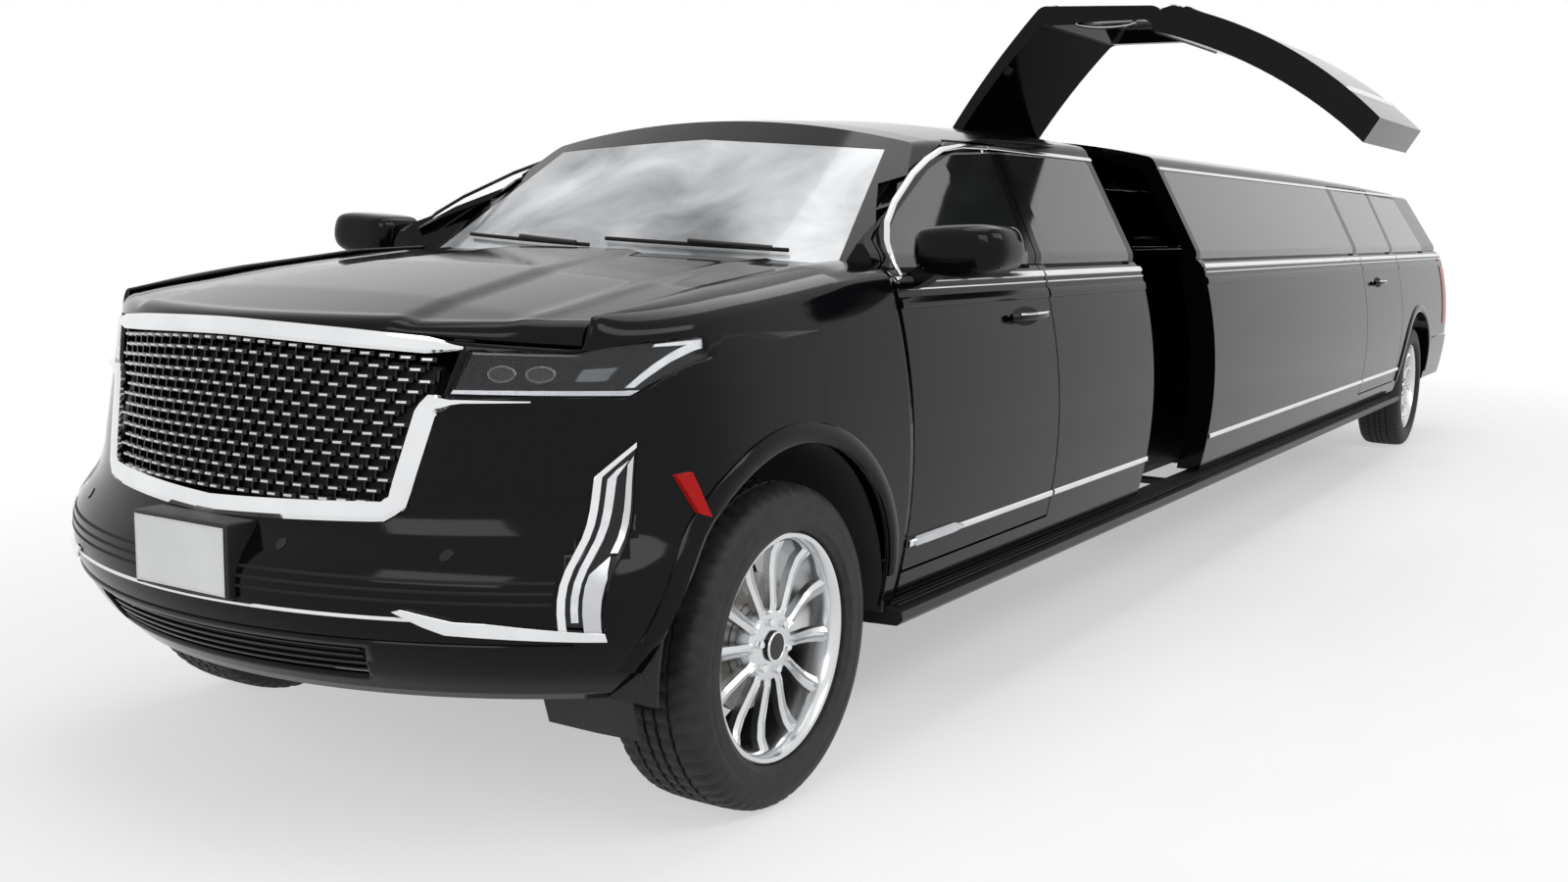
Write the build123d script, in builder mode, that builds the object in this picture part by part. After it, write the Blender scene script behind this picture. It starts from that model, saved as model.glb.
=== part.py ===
"""Stretch limousine on a large luxury off-roader's body, with its left jet door raised.

Millimetres. +X points forward, +Y to the left and +Z up. The origin is the centre of the
front jacking pad, on the centreline under the front axle. Heights in this file are above the
road, and the three planes below set them down by the pad's own height.
"""

import math
import os

from build123d import *

os.makedirs("parts", exist_ok=True)

# Overall layout, lengths along the car counted from the front axle
standard_wheelbase = 3071
stretch_length = 5080
wheelbase = standard_wheelbase + stretch_length
track = 1740
jack_pad_height = 240

# Wheels and tyres
tyre_diameter = 822
tyre_width = 275
rim_radius = 292
rim_width = 235
hub_bore_radius = 38
spoke_count = 12

# Body section, half widths and heights
body_half_width = 1030
waist_height = 860
sill_half_width = 985
sill_height = 425
belt_half_width = 955
belt_height = 1300
belt_lap = 30
roof_edge_half_width = 705
roof_edge_height = 1765
roof_height = 1843
roof_corner_radius = 50
door_thickness = 110
pillar_thickness = 55
roof_thickness = 42
panel_thickness = 26

# Nose, hood and fenders
nose_x = 907
nose_radius = 1300
nose_lean = 60
bumper_bulge = 78
chin_height = 385
grille_bottom = 785
grille_top = 1190
hood_half_width = 800
hood_rear_height = 1385
hood_rear_radius = 1975
front_volume_end = 1000
scuttle_x = -560

# Windscreen
screen_base_x = -470
screen_base_height = 1360
screen_radius = 1900
screen_half_width = 790
screen_rake = 1.6
glass_thickness = 6

# Tail
tail_x = -9390
tail_radius = 3400
tail_lean = 0.36
tail_bend_height = 1180

# Doors, hood and their gaps
shut_gap = 8
door_bottom = 500
front_door_front = -595
front_door_length = 1045
jet_opening_front = -2600
jet_opening_length = 800
jet_hinge_y = 120
jet_hinge_height = 1850
jet_open_angle = 59
rear_door_length = 1080
rear_door_to_axle = 590

# Wheel arches
arch_radius = 515
liner_thickness = 6
liner_depth = 485

# Windows, their lower and upper edges and frame widths
window_bottom = 1322
window_top = 1706
window_frame = 55
window_corner = 22
glass_fit = 0.3
quarter_window_end = -8700
hinge_lap = 5
screen_top_half_width = 640
screen_top_height = 1684
gate_half_width = 858
gate_top_half_width = 640
gate_bottom = 735
gate_top = 1708
bumper_front_x = -8695
bumper_top = 725
roof_seam = 638
pillar_step = 165
pillar_width = 70
pillar_cover = 50
door_top = 1722
door_lean = 90
door_inner = 655
door_step = 26
door_skin = 16
nose_thickness = 60
pillar_front_x = -545
post_front = -535
post_inset = 45
headlamp_tip_x = 430
fender_nose_height = 1120
screen_foot = 1345
cowl_bottom = 1290
mirror_rear = -745
mirror_front = -622

# Plates
front_plate_x = 994
plate_width = 305
plate_height = 980
plate_recess = 12
plate_bolt_across = 178
plate_bolt_up = 121
plate_bolt_radius = 3

# Under the body
rail_inner = 385
rail_outer = 465
rear_jack_x = -7400
board_front = -540
board_rear = -7600
floor_height = 468
rear_floor_height = 588
floor_step_x = -7430
firewall_x = -600
sill_inner = 862
spring_y = 560
kingpin_y = 850
hub_face_y = 870
stub_end = 940
hub_clearance = 0.05
tyre_fit = 0.2

# Inside
driver_y = 400
seat_fit = 0.3

# Strut of the jet door
strut_x = -2641
strut_eye_half = 9
strut_body_y = 205
strut_body_height = 1765
strut_door_y = 430
strut_door_height = 1748
strut_tube_radius = 8
strut_tube_length = 195
strut_rod_radius = 5
strut_rod_length = 160
strut_pin_radius = 4
pin_clearance = 0.05


def plan_at(height):
    """A horizontal plane at a height above the road; sketch x is X and sketch y is Y."""
    return Plane(origin=(0, 0, height - jack_pad_height), x_dir=(1, 0, 0), z_dir=(0, 0, 1))


def side_at(y):
    """A side view plane facing right; sketch x is X and sketch y is the height."""
    return Plane(origin=(0, y, -jack_pad_height), x_dir=(1, 0, 0), z_dir=(0, -1, 0))


def section_at(x):
    """A cross section facing forward; sketch x is Y and sketch y is the height."""
    return Plane(origin=(x, 0, -jack_pad_height), x_dir=(0, 1, 0), z_dir=(1, 0, 0))


def save(part, label):
    """Labels one finished piece and writes it."""
    part.label = label
    export_step(part, f"parts/{label}.step")


# Positions worked out from the sizes above
rear_axle_x = -wheelbase
axle_height = tyre_diameter / 2
front_door_rear = front_door_front - front_door_length
jet_opening_rear = jet_opening_front - jet_opening_length
rear_door_rear = rear_axle_x + rear_door_to_axle
rear_door_front = rear_door_rear + rear_door_length
nose_axis_x = nose_x - nose_radius
screen_axis_x = screen_base_x - screen_radius
screen_corner_x = screen_axis_x + math.sqrt(screen_radius**2 - screen_half_width**2)
cabin_rear = tail_x - 60
far = 3000


# Body volumes

def lower_section(x, inset, bottom):
    """Body side below the belt, bowed between sill and belt."""
    sill = sill_half_width - inset
    waist = body_half_width - inset
    belt = belt_half_width - inset
    with BuildSketch(section_at(x)) as section:
        with BuildLine():
            Line((-sill, bottom), (sill, bottom))
            ThreePointArc((sill, bottom), (waist, waist_height), (belt, belt_height))
            Polyline(
                (belt, belt_height),
                (belt - belt_lap, belt_height + belt_lap),
                (belt_lap - belt, belt_height + belt_lap),
                (-belt, belt_height),
            )
            ThreePointArc((-belt, belt_height), (-waist, waist_height), (-sill, bottom))
        make_face()
    return section.sketch


def greenhouse_section(x, drop, inset, crown_inset):
    """Window zone and crowned roof, lowered by drop towards the ends of the roof."""
    belt = belt_half_width - inset
    edge = roof_edge_half_width - inset
    edge_height = roof_edge_height - drop - crown_inset
    crown_height = roof_height - drop - crown_inset
    base = belt_height - 1
    with BuildSketch(section_at(x)) as section:
        with BuildLine():
            Line((-belt, base), (belt, base))
            Line((belt, base), (edge, edge_height))
            ThreePointArc((edge, edge_height), (0, crown_height), (-edge, edge_height))
            Line((-edge, edge_height), (-belt, base))
        make_face()
        fillet(section.vertices().group_by(Axis.Z)[-1], roof_corner_radius)
    return section.sketch


roof_stations = (
    (-300, 150), (-800, 91), (-1300, 47), (-1800, 18), (-2500, 3), (-6200, 4),
    (-7400, 14), (-8500, 32), (cabin_rear - 40, 62),
)


def greenhouse_volume(inset, crown_inset):
    """The upper cabin from scuttle to tail, before its ends are trimmed."""
    with BuildPart() as volume:
        loft(
            [greenhouse_section(x, drop, inset, crown_inset) for x, drop in roof_stations],
            ruled=True,
        )
    return volume.part


def screen_trim(inset):
    """Everything behind the raked windscreen surface; pillars stand proud beside the glass."""
    corner = screen_corner_x - inset
    with BuildPart() as volume:
        with BuildSketch(plan_at(screen_base_height - 80)):
            with BuildLine():
                front = screen_base_x - inset + 80 * screen_rake
                corner = screen_corner_x - inset + 80 * screen_rake
                ThreePointArc(
                    (corner, -screen_half_width), (front, 0), (corner, screen_half_width),
                )
                Polyline(
                    (corner, screen_half_width),
                    (corner + pillar_step, screen_half_width + pillar_width),
                    (corner + pillar_step, 1200),
                    (-14000, 1200),
                    (-14000, -1200),
                    (corner + pillar_step, -1200),
                    (corner + pillar_step, -screen_half_width - pillar_width),
                    (corner, -screen_half_width),
                )
            make_face()
        extrude(amount=1150, dir=(-screen_rake, 0, 1))
    return volume.part


def tail_outline(height, inset):
    """Plan of the tail, bowed across and rounded at both corners."""
    end = tail_x + inset
    side_sag = tail_radius - math.sqrt(tail_radius**2 - 1100**2)
    with BuildSketch(plan_at(height)) as outline:
        with BuildLine():
            ThreePointArc((end + side_sag, -1100), (end, 0), (end + side_sag, 1100))
            Polyline(
                (end + side_sag, 1100), (2000, 1100), (2000, -1100), (end + side_sag, -1100),
            )
        make_face()
    return outline.sketch


def tail_trim(inset):
    """Everything ahead of the tail: upright below the bend and leaning forward above it."""
    with BuildPart() as volume:
        extrude(tail_outline(200, inset), amount=tail_bend_height - 200)
        extrude(tail_outline(tail_bend_height, inset), amount=750, dir=(tail_lean, 0, 1))
    return volume.part


def lower_volume(inset, bottom, front=front_door_front, rear=cabin_rear):
    """Cabin and tail below the belt."""
    with BuildPart() as volume:
        extrude(lower_section(front, inset, bottom), amount=rear - front)
    return volume.part


front_stations = (
    (-720, belt_height, hood_rear_height - 24, hood_rear_height),
    (-300, 1267, 1346, 1370),
    (120, 1226, 1302, 1335),
    (560, 1174, 1240, 1278),
    (front_volume_end, 1112, 1152, 1200),
)


def front_section(x, heights, inset, bottom):
    """Fender side, rounded shoulder and crowned hood."""
    shoulder, edge, crown = (height - inset for height in heights)
    sill = sill_half_width - inset
    waist = body_half_width - inset
    shoulder_y = belt_half_width - inset
    edge_y = hood_half_width - inset
    bulge = ((shoulder_y + edge_y) / 2 + 10, (shoulder + edge) / 2 + 18)
    with BuildSketch(section_at(x)) as section:
        with BuildLine():
            Line((0, bottom), (sill, bottom))
            ThreePointArc((sill, bottom), (waist, waist_height), (shoulder_y, shoulder))
            ThreePointArc((shoulder_y, shoulder), bulge, (edge_y, edge))
            Line((edge_y, edge), (0, crown))
            Line((0, crown), (0, bottom))
        make_face()
        mirror(about=Plane.YZ)
    return section.sketch


def front_volume(inset, bottom):
    """Hood, fenders and nose before the nose is rounded off."""
    with BuildPart() as volume:
        loft(
            [front_section(x, heights, inset, bottom) for x, *heights in front_stations],
            ruled=True,
        )
    return volume.part


def nose_volume(inset):
    """The nose turned about an upright axis, so that it is bowed in plan."""
    with BuildPart() as volume:
        with BuildSketch(side_at(0)):
            with BuildLine():
                Polyline(
                    (nose_axis_x, chin_height - 200),
                    (nose_x - nose_lean - inset, chin_height - 200),
                    (nose_x - nose_lean - inset, chin_height),
                    (nose_x + bumper_bulge - inset, 560),
                    (nose_x + bumper_bulge - inset, 690),
                    (nose_x - inset, grille_bottom),
                    (nose_x - nose_lean - inset, grille_top),
                    (nose_x - nose_lean - 25 - inset, grille_top + 45),
                    (nose_x - nose_lean - 25 - inset, 1600),
                    (nose_axis_x, 1600),
                    close=True,
                )
            make_face()
        revolve(axis=Axis((nose_axis_x, 0, 0), (0, 0, 1)))
    return volume.part


# Cutting tools: prisms from an outline in one of the three views

def prism(plane, points, depth, radius=0):
    """A straight-sided prism on an outline whose corners may be rounded."""
    with BuildPart() as cutter:
        with BuildSketch(plane) as outline:
            with BuildLine():
                Polyline(*points, close=True)
            make_face()
            if radius:
                fillet(outline.vertices(), radius)
        extrude(amount=depth)
    return cutter.part


def side_prism(points, y_from, y_to, radius=0):
    return prism(side_at(y_from), points, y_from - y_to, radius)


def front_prism(points, x_from, x_to, radius=0):
    return prism(section_at(x_from), points, x_to - x_from, radius)


def block(x_from, x_to, y_from, y_to, low, high):
    corners = ((x_from, y_from), (x_to, y_from), (x_to, y_to), (x_from, y_to))
    return prism(plan_at(low), corners, high - low)


def cylinder_across(x, height, radius, y_from, y_to):
    """A cylinder along Y, as for a wheel or its arch."""
    with BuildPart() as cutter:
        with BuildSketch(side_at(y_from)):
            with Locations((x, height)):
                Circle(radius)
        extrude(amount=y_from - y_to)
    return cutter.part


def panel(source, keep, cuts=()):
    """What a region keeps of a shell, less its openings."""
    with BuildPart() as piece:
        add(source)
        add(keep, mode=Mode.INTERSECT)
        for cut in cuts:
            add(cut, mode=Mode.SUBTRACT)
    return piece.part


def mirrored(part):
    """The same piece on the right-hand side."""
    with BuildPart() as other:
        add(part)
        mirror(about=Plane.XZ, mode=Mode.REPLACE)
    return other.part


def both_sides(part):
    """A left piece and its right twin in one node."""
    with BuildPart() as pair:
        add(part)
        mirror(about=Plane.XZ)
    return pair.part


def shrunk(points, margin):
    """An outline moved in by a margin, or out by a negative one."""
    with BuildSketch(mode=Mode.PRIVATE) as outline:
        with BuildLine():
            Polyline(*points, close=True)
        make_face()
        offset(amount=-margin, kind=Kind.INTERSECTION, mode=Mode.REPLACE)
    loop = outline.face().outer_wire().order_edges()
    return [(edge.start_point().X, edge.start_point().Y) for edge in loop]


# Shells that the panels are cut from

inner_greenhouse = greenhouse_volume(pillar_thickness, roof_thickness)
outer_greenhouse = greenhouse_volume(0, 0)
pillar_toe = both_sides(
    block(pillar_front_x, 400, screen_half_width, 1300, belt_height - 100, roof_height)
)

with BuildPart() as front_core:
    add(front_volume(panel_thickness, chin_height - 150))
    add(nose_volume(nose_thickness), mode=Mode.INTERSECT)

with BuildPart() as front_shell:
    add(front_volume(0, chin_height))
    add(nose_volume(0), mode=Mode.INTERSECT)
    add(front_core.part, mode=Mode.SUBTRACT)

with BuildPart() as cabin_core:
    add(inner_greenhouse)
    add(screen_trim(100), mode=Mode.INTERSECT)
    add(lower_volume(door_thickness, sill_height - 50))
    add(tail_trim(90), mode=Mode.INTERSECT)

with BuildPart() as greenhouse_outer:
    add(outer_greenhouse)
    add(screen_trim(0), mode=Mode.INTERSECT)
    add(pillar_toe, mode=Mode.SUBTRACT)

with BuildPart() as cabin_shell:
    add(lower_volume(0, sill_height))
    add(greenhouse_outer.part)
    add(tail_trim(0), mode=Mode.INTERSECT)
    add(cabin_core.part, mode=Mode.SUBTRACT)

with BuildPart() as scuttle_clearance:
    add(greenhouse_volume(-shut_gap, -shut_gap))
    add(screen_trim(-shut_gap), mode=Mode.INTERSECT)
    add(pillar_toe.translate((shut_gap, 0, 0)), mode=Mode.SUBTRACT)
    add(block(-2200, 400, -1300, 1300, 1000, 2000), mode=Mode.INTERSECT)

with BuildPart() as wall_core:
    add(inner_greenhouse)
    add(lower_volume(door_thickness, sill_height - 50))

with BuildPart() as skin_core:
    add(greenhouse_volume(door_skin, door_skin))
    add(lower_volume(door_skin, sill_height - 50))

left_half = block(tail_x - 200, 400, roof_seam + 0.2, 1300, 200, 2000)
left_shell = panel(cabin_shell.part, left_half)
left_glass = panel(
    outer_greenhouse, left_half, [greenhouse_volume(glass_thickness, glass_thickness)]
)


# Door outlines in side view

def side_half_width(height):
    """Half width of the window zone at a height."""
    share = (height - belt_height) / (roof_edge_height - belt_height)
    return belt_half_width - share * (belt_half_width - roof_edge_half_width)


def pillar_front(height):
    """Where the windscreen pillar's outer edge lies at a height."""
    y = min(side_half_width(height), screen_half_width + pillar_width)
    rise = screen_rake * (height - screen_base_height)
    if y > screen_half_width:
        return screen_corner_x + pillar_step * (y - screen_half_width) / pillar_width - rise
    return screen_axis_x + math.sqrt(screen_radius**2 - y**2) - rise


front_door_top = (
    *((pillar_front(height) - pillar_cover, height) for height in (1410, 1500, 1640)),
    (pillar_front(1640) - pillar_cover - 268, door_top),
)
front_door_outline = (
    (front_door_front, door_bottom),
    (front_door_front, belt_height),
    *front_door_top,
    (front_door_rear - door_lean, door_top),
    (front_door_rear, belt_height),
    (front_door_rear, door_bottom),
)
rear_door_outline = (
    (rear_door_front, door_bottom),
    (rear_door_front, belt_height),
    (rear_door_front - door_lean / 2, door_top),
    (rear_door_rear - door_lean, door_top),
    (rear_door_rear, belt_height),
    (rear_door_rear, 900),
    (rear_door_rear + 55, door_bottom),
)
front_window_outline = (
    (front_door_top[0][0] - 40, window_bottom),
    *((x - 42, height - 12) for x, height in front_door_top[:-1]),
    (front_door_top[-1][0] - window_frame, window_top),
    (front_door_rear - door_lean + window_frame, window_top),
    (front_door_rear + window_frame, window_bottom),
)
rear_window_outline = (
    (rear_door_front - window_frame, window_bottom),
    (rear_door_front - window_frame - door_lean / 2, window_top),
    (rear_door_rear - door_lean + window_frame, window_top),
    (rear_door_rear + window_frame, window_bottom),
)


def straight_window(x_front, x_rear):
    """A fixed window between two places, its rear end leaning back."""
    return (
        (x_front, window_bottom),
        (x_front - door_lean, window_top),
        (x_rear, window_top),
        (x_rear, window_bottom),
    )


first_window_outline = straight_window(
    front_door_rear - window_frame, jet_opening_front + window_frame
)
long_window_outline = (
    (jet_opening_rear - window_frame, window_bottom),
    (jet_opening_rear - window_frame, window_top),
    (rear_door_front + window_frame - door_lean / 2, window_top),
    (rear_door_front + window_frame, window_bottom),
)
jet_window_outline = (
    (jet_opening_front - window_frame, window_bottom),
    (jet_opening_front - window_frame, window_top),
    (jet_opening_rear + window_frame, window_top),
    (jet_opening_rear + window_frame, window_bottom),
)
quarter_window_outline = (
    (rear_door_rear - window_frame, window_bottom),
    (rear_door_rear - window_frame - door_lean, window_top),
    (quarter_window_end + 150, window_top - 12),
    (quarter_window_end, window_bottom),
)
right_window_outline = (
    (front_door_rear - window_frame, window_bottom),
    (front_door_rear - window_frame - door_lean, window_top),
    *long_window_outline[2:],
)

tail_lamp_region = block(tail_x - 200, tail_x + 160, 882, 1300, 800, 1285)
tail_lamp_lens = block(tail_x - 200, tail_x + 159, 883, 1300, 801, 1284)
front_arch = cylinder_across(0, axle_height, arch_radius, liner_depth, 1300)
rear_arch = cylinder_across(rear_axle_x, axle_height, arch_radius, liner_depth, 1300)


def opening(outline):
    """The hole in the body side for a door, wider than it by the gap all round."""
    return panel(
        side_prism(shrunk(outline, -shut_gap), door_inner, 1300), left_half, [wall_core.part]
    )


def door(outline, window):
    """A door as thick as the wall, its inner part set in from the skin all round."""
    with BuildPart() as step:
        add(side_prism(shrunk(outline, -300), door_inner, 1300))
        add(side_prism(shrunk(outline, door_step), door_inner, 1300), mode=Mode.SUBTRACT)
        add(skin_core.part, mode=Mode.INTERSECT)
    cuts = [wall_core.part, step.part, side_prism(window, 500, 1300, window_corner)]
    return panel(left_shell, side_prism(outline, door_inner, 1300), cuts)


def pane(outline):
    """Glass flush with the body, let into its window."""
    seat = side_prism(shrunk(outline, glass_fit), 500, 1300, window_corner)
    return panel(left_glass, seat)


front_opening = opening(front_door_outline)
rear_opening = opening(rear_door_outline)

# Mirror on the front door, its arm let into the belt
with BuildPart() as mirror_left:
    add(
        front_prism(
            (
                (1005, 1330), (1176, 1322), (1252, 1345), (1262, 1385), (1248, 1440),
                (1222, 1452), (1010, 1440),
            ),
            mirror_rear, mirror_front, 12,
        )
    )
    add(
        front_prism(
            ((925, 1262), (925, 1306), (1010, 1345), (1060, 1345), (1060, 1328), (1000, 1290)),
            mirror_rear + 30, mirror_front - 25,
        )
    )

# Doors
with BuildPart() as front_door_left:
    add(door(front_door_outline, front_window_outline))
    add(mirror_left.part)
rear_door_left = door(rear_door_outline, rear_window_outline)
save(front_door_left.part, "front_door_left")
save(mirrored(front_door_left.part), "front_door_right")
save(rear_door_left, "rear_door_left")
save(mirrored(rear_door_left), "rear_door_right")
for outline, label in ((front_window_outline, "front"), (rear_window_outline, "rear")):
    glass = pane(outline)
    save(glass, f"{label}_door_glass_left")
    save(mirrored(glass), f"{label}_door_glass_right")


# Jet door, cut closed and then raised about its hinge in the roof

def raised(part):
    """A piece of the jet door turned up to where it stands open."""
    hinge = Axis((0, jet_hinge_y, jet_hinge_height - jack_pad_height), (1, 0, 0))
    return part.rotate(hinge, jet_open_angle)


jet_region = block(
    jet_opening_rear + shut_gap, jet_opening_front - shut_gap,
    jet_hinge_y + hinge_lap, 1200, 300, 2000,
)
with BuildPart() as jet_door:
    add(cabin_shell.part)
    add(jet_region, mode=Mode.INTERSECT)
    add(side_prism(jet_window_outline, 500, 1300, window_corner), mode=Mode.SUBTRACT)
    add(
        block(
            strut_x + strut_eye_half + 5, strut_x + strut_eye_half + 20,
            strut_door_y - 15, strut_door_y + 15, strut_door_height - 10, strut_door_height + 34,
        )
    )
save(raised(jet_door.part), "jet_door")
save(raised(pane(jet_window_outline)), "jet_door_glass")
jet_opening = block(jet_opening_rear, jet_opening_front, jet_hinge_y - 3, 1300, 200, 2000)

# Roof with the strut's bracket
screen_opening = front_prism(
    (
        (-screen_half_width + 20, 1280), (screen_half_width - 20, 1280),
        (screen_half_width - 24, 1345), (screen_top_half_width, screen_top_height),
        (0, screen_top_height + 34), (-screen_top_half_width, screen_top_height),
        (-screen_half_width + 24, 1345),
    ),
    -1500, 200,
)
screen_seat = front_prism(
    (
        (-screen_half_width + 25, 1345), (screen_half_width - 25, 1345),
        (screen_top_half_width - 1, screen_top_height - 1), (0, screen_top_height + 33),
        (-screen_top_half_width + 1, screen_top_height - 1),
    ),
    -1500, 200,
)
gate_outline = (
    (-gate_half_width, gate_bottom), (gate_half_width, gate_bottom),
    (gate_half_width - 25, belt_height), (gate_top_half_width, gate_top),
    (-gate_top_half_width, gate_top), (-gate_half_width + 25, belt_height),
)
gate_window_outline = (
    (-gate_half_width + 95, window_bottom), (gate_half_width - 95, window_bottom),
    (gate_top_half_width - 30, gate_top - 70), (-gate_top_half_width + 30, gate_top - 70),
)
gate_opening = front_prism(shrunk(gate_outline, -shut_gap), tail_x - 200, tail_x + 420)
bumper_region = block(tail_x - 200, bumper_front_x, -1300, 1300, 200, bumper_top + 2)
strut_rest_x = strut_x + strut_eye_half + 4

with BuildPart() as roof_panel:
    add(cabin_shell.part)
    add(block(tail_x - 200, 200, -roof_seam, roof_seam, 1500, 2000), mode=Mode.INTERSECT)
    add(jet_opening, mode=Mode.SUBTRACT)
    add(screen_opening, mode=Mode.SUBTRACT)
    add(gate_opening, mode=Mode.SUBTRACT)
    add(
        block(
            strut_rest_x, strut_rest_x + 58, strut_body_y - 15, strut_body_y + 15,
            strut_body_height - 15, strut_body_height + 19,
        )
    )
    add(
        block(
            jet_opening_front + 2, strut_rest_x + 58, strut_body_y - 15, strut_body_y + 15,
            strut_body_height, strut_body_height + 36,
        )
    )
    with BuildSketch(section_at(strut_rest_x)):
        with Locations((strut_body_y, strut_body_height)):
            Circle(strut_pin_radius)
    extrude(amount=-2 * strut_eye_half - 8)
save(roof_panel.part, "roof_panel")

# Body sides: the left in front of and behind the jet door, the right in one, and quarters
with BuildPart() as hinge_post:
    add(lower_volume(post_inset, sill_height, post_front, post_front - 105))
    add(wall_core.part, mode=Mode.SUBTRACT)
    add(
        lower_volume(door_thickness, sill_height - 50, post_front + 50, post_front - 200),
        mode=Mode.SUBTRACT,
    )
    add(block(post_front - 105, post_front, 700, 1300, 300, belt_height + 10), mode=Mode.INTERSECT)
    add(front_opening, mode=Mode.SUBTRACT)

side_cuts = [
    screen_opening, gate_opening, bumper_region, rear_arch, front_opening, rear_opening,
    side_prism(quarter_window_outline, 500, 1300, window_corner), tail_lamp_region,
]
left_side = panel(
    left_shell, left_half,
    side_cuts + [
        jet_opening,
        side_prism(first_window_outline, 500, 1300, window_corner),
        side_prism(long_window_outline, 500, 1300, window_corner),
    ],
)
right_side = panel(
    left_shell, left_half,
    side_cuts + [side_prism(right_window_outline, 500, 1300, window_corner)],
)
quarter_joint = rear_door_front + 150
ahead = block(quarter_joint, 400, -1300, 1300, 200, 2000)
behind = block(tail_x - 200, quarter_joint - 0.2, -1300, 1300, 200, 2000)
with BuildPart() as body_side_left:
    add(panel(left_side, ahead))
    add(hinge_post.part)
save(body_side_left.part, "body_side_left")
with BuildPart() as body_side_right:
    add(panel(right_side, ahead))
    add(hinge_post.part)
save(mirrored(body_side_right.part), "body_side_right")
save(both_sides(panel(left_side, behind)), "quarter_panels")

# Fixed glass
with BuildPart() as fixed_glass:
    add(pane(first_window_outline))
    add(pane(long_window_outline))
    add(both_sides(pane(quarter_window_outline)))
    add(mirrored(pane(right_window_outline)))
save(fixed_glass.part, "side_glass")

with BuildPart() as windshield:
    add(outer_greenhouse)
    add(screen_trim(0), mode=Mode.INTERSECT)
    add(screen_trim(glass_thickness * 2), mode=Mode.SUBTRACT)
    add(screen_seat, mode=Mode.INTERSECT)
save(windshield.part, "windshield")

# Liftgate with the rear plate's recess and bolt holes, and its window
with BuildPart() as liftgate:
    add(cabin_shell.part)
    add(front_prism(gate_outline, tail_x - 200, tail_x + 420), mode=Mode.INTERSECT)
    add(
        front_prism(gate_window_outline, tail_x - 200, tail_x + 420, window_corner),
        mode=Mode.SUBTRACT,
    )
    add(block(tail_x + 130, tail_x + 420, -1300, 1300, 200, belt_height), mode=Mode.SUBTRACT)
    add(
        block(
            tail_x - 50, tail_x + plate_recess, -plate_width / 2 - 20, plate_width / 2 + 20,
            plate_height - 85, plate_height + 85,
        ),
        mode=Mode.SUBTRACT,
    )
    with BuildSketch(section_at(tail_x + plate_recess)):
        with Locations((0, plate_height)):
            with GridLocations(plate_bolt_across, plate_bolt_up, 2, 2):
                Circle(plate_bolt_radius)
    extrude(amount=25, mode=Mode.SUBTRACT)
save(liftgate.part, "liftgate")
with BuildPart() as liftgate_glass:
    add(outer_greenhouse)
    add(tail_trim(0), mode=Mode.INTERSECT)
    add(tail_trim(glass_thickness), mode=Mode.SUBTRACT)
    add(
        front_prism(
            shrunk(gate_window_outline, glass_fit), tail_x - 200, tail_x + 420, window_corner
        ),
        mode=Mode.INTERSECT,
    )
save(liftgate_glass.part, "liftgate_glass")

# Nose openings in front view
grille_outline = (
    (-585, 1166), (-300, 1188), (0, 1196), (300, 1188), (585, 1166), (560, 1050), (510, 815),
    (0, grille_bottom), (-510, 815), (-560, 1050),
)
grille_inner = (
    (-532, 1128), (-300, 1148), (0, 1155), (300, 1148), (532, 1128), (515, 1050), (470, 850),
    (0, 825), (-470, 850), (-515, 1050),
)
headlamp_outline = (
    (577, 1072), (608, 1168), (790, 1166), (812, 1182), (955, 1200), (1010, 1185), (885, 1072),
)
bumper_lamp_outline = ((842, 560), (915, 556), (925, 700), (908, 975), (845, 900))
lower_grille_outline = ((-430, 445), (430, 445), (460, 525), (-460, 525))
headlamp_region = front_prism(headlamp_outline, headlamp_tip_x, 1100)
bumper_lamp_region = front_prism(bumper_lamp_outline, 500, 1100)


def hood_outline(gap):
    """Front view of what the hood takes, wider by a gap for its neighbours."""
    edge = hood_half_width - 4 + gap
    return (
        (-edge, 1182 - gap), (-400, 1206 - gap), (0, 1216 - gap), (400, 1206 - gap),
        (edge, 1182 - gap), (edge, 1600), (-edge, 1600),
    )


# Hood
with BuildPart() as cowl_space:
    with BuildSketch(plan_at(1000)):
        with Locations((screen_axis_x, 0)):
            Circle(hood_rear_radius)
    extrude(amount=600)
save(
    panel(
        front_shell.part, front_prism(hood_outline(0), -720, 1050),
        [cowl_space.part, scuttle_clearance.part],
    ),
    "hood",
)

# Front fenders with their wheel-arch liners
with BuildPart() as front_liner:
    add(cylinder_across(0, axle_height, arch_radius + liner_thickness, liner_depth, 1100))
    add(
        cylinder_across(0, axle_height, arch_radius, liner_depth - 10, 1300), mode=Mode.SUBTRACT
    )
    add(front_volume(panel_thickness - 6, 100), mode=Mode.INTERSECT)
    add(block(-700, 462, 400, 1200, axle_height, 1200), mode=Mode.INTERSECT)
with BuildPart() as fender_region:
    add(block(front_door_front + shut_gap, 466, hood_half_width + 4, 1300, 300, 1600))
    add(block(460, 700, hood_half_width + 4, 1300, fender_nose_height, 1600))
with BuildPart() as fender:
    add(front_shell.part)
    add(fender_region.part, mode=Mode.INTERSECT)
    add(front_arch, mode=Mode.SUBTRACT)
    add(headlamp_region, mode=Mode.SUBTRACT)
    add(scuttle_clearance.part, mode=Mode.SUBTRACT)
    add(
        block(-720, post_front + shut_gap, 700, body_half_width - panel_thickness * 4, 1150, 1500),
        mode=Mode.SUBTRACT,
    )
    add(front_liner.part)
save(both_sides(fender.part), "front_fenders")

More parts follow.
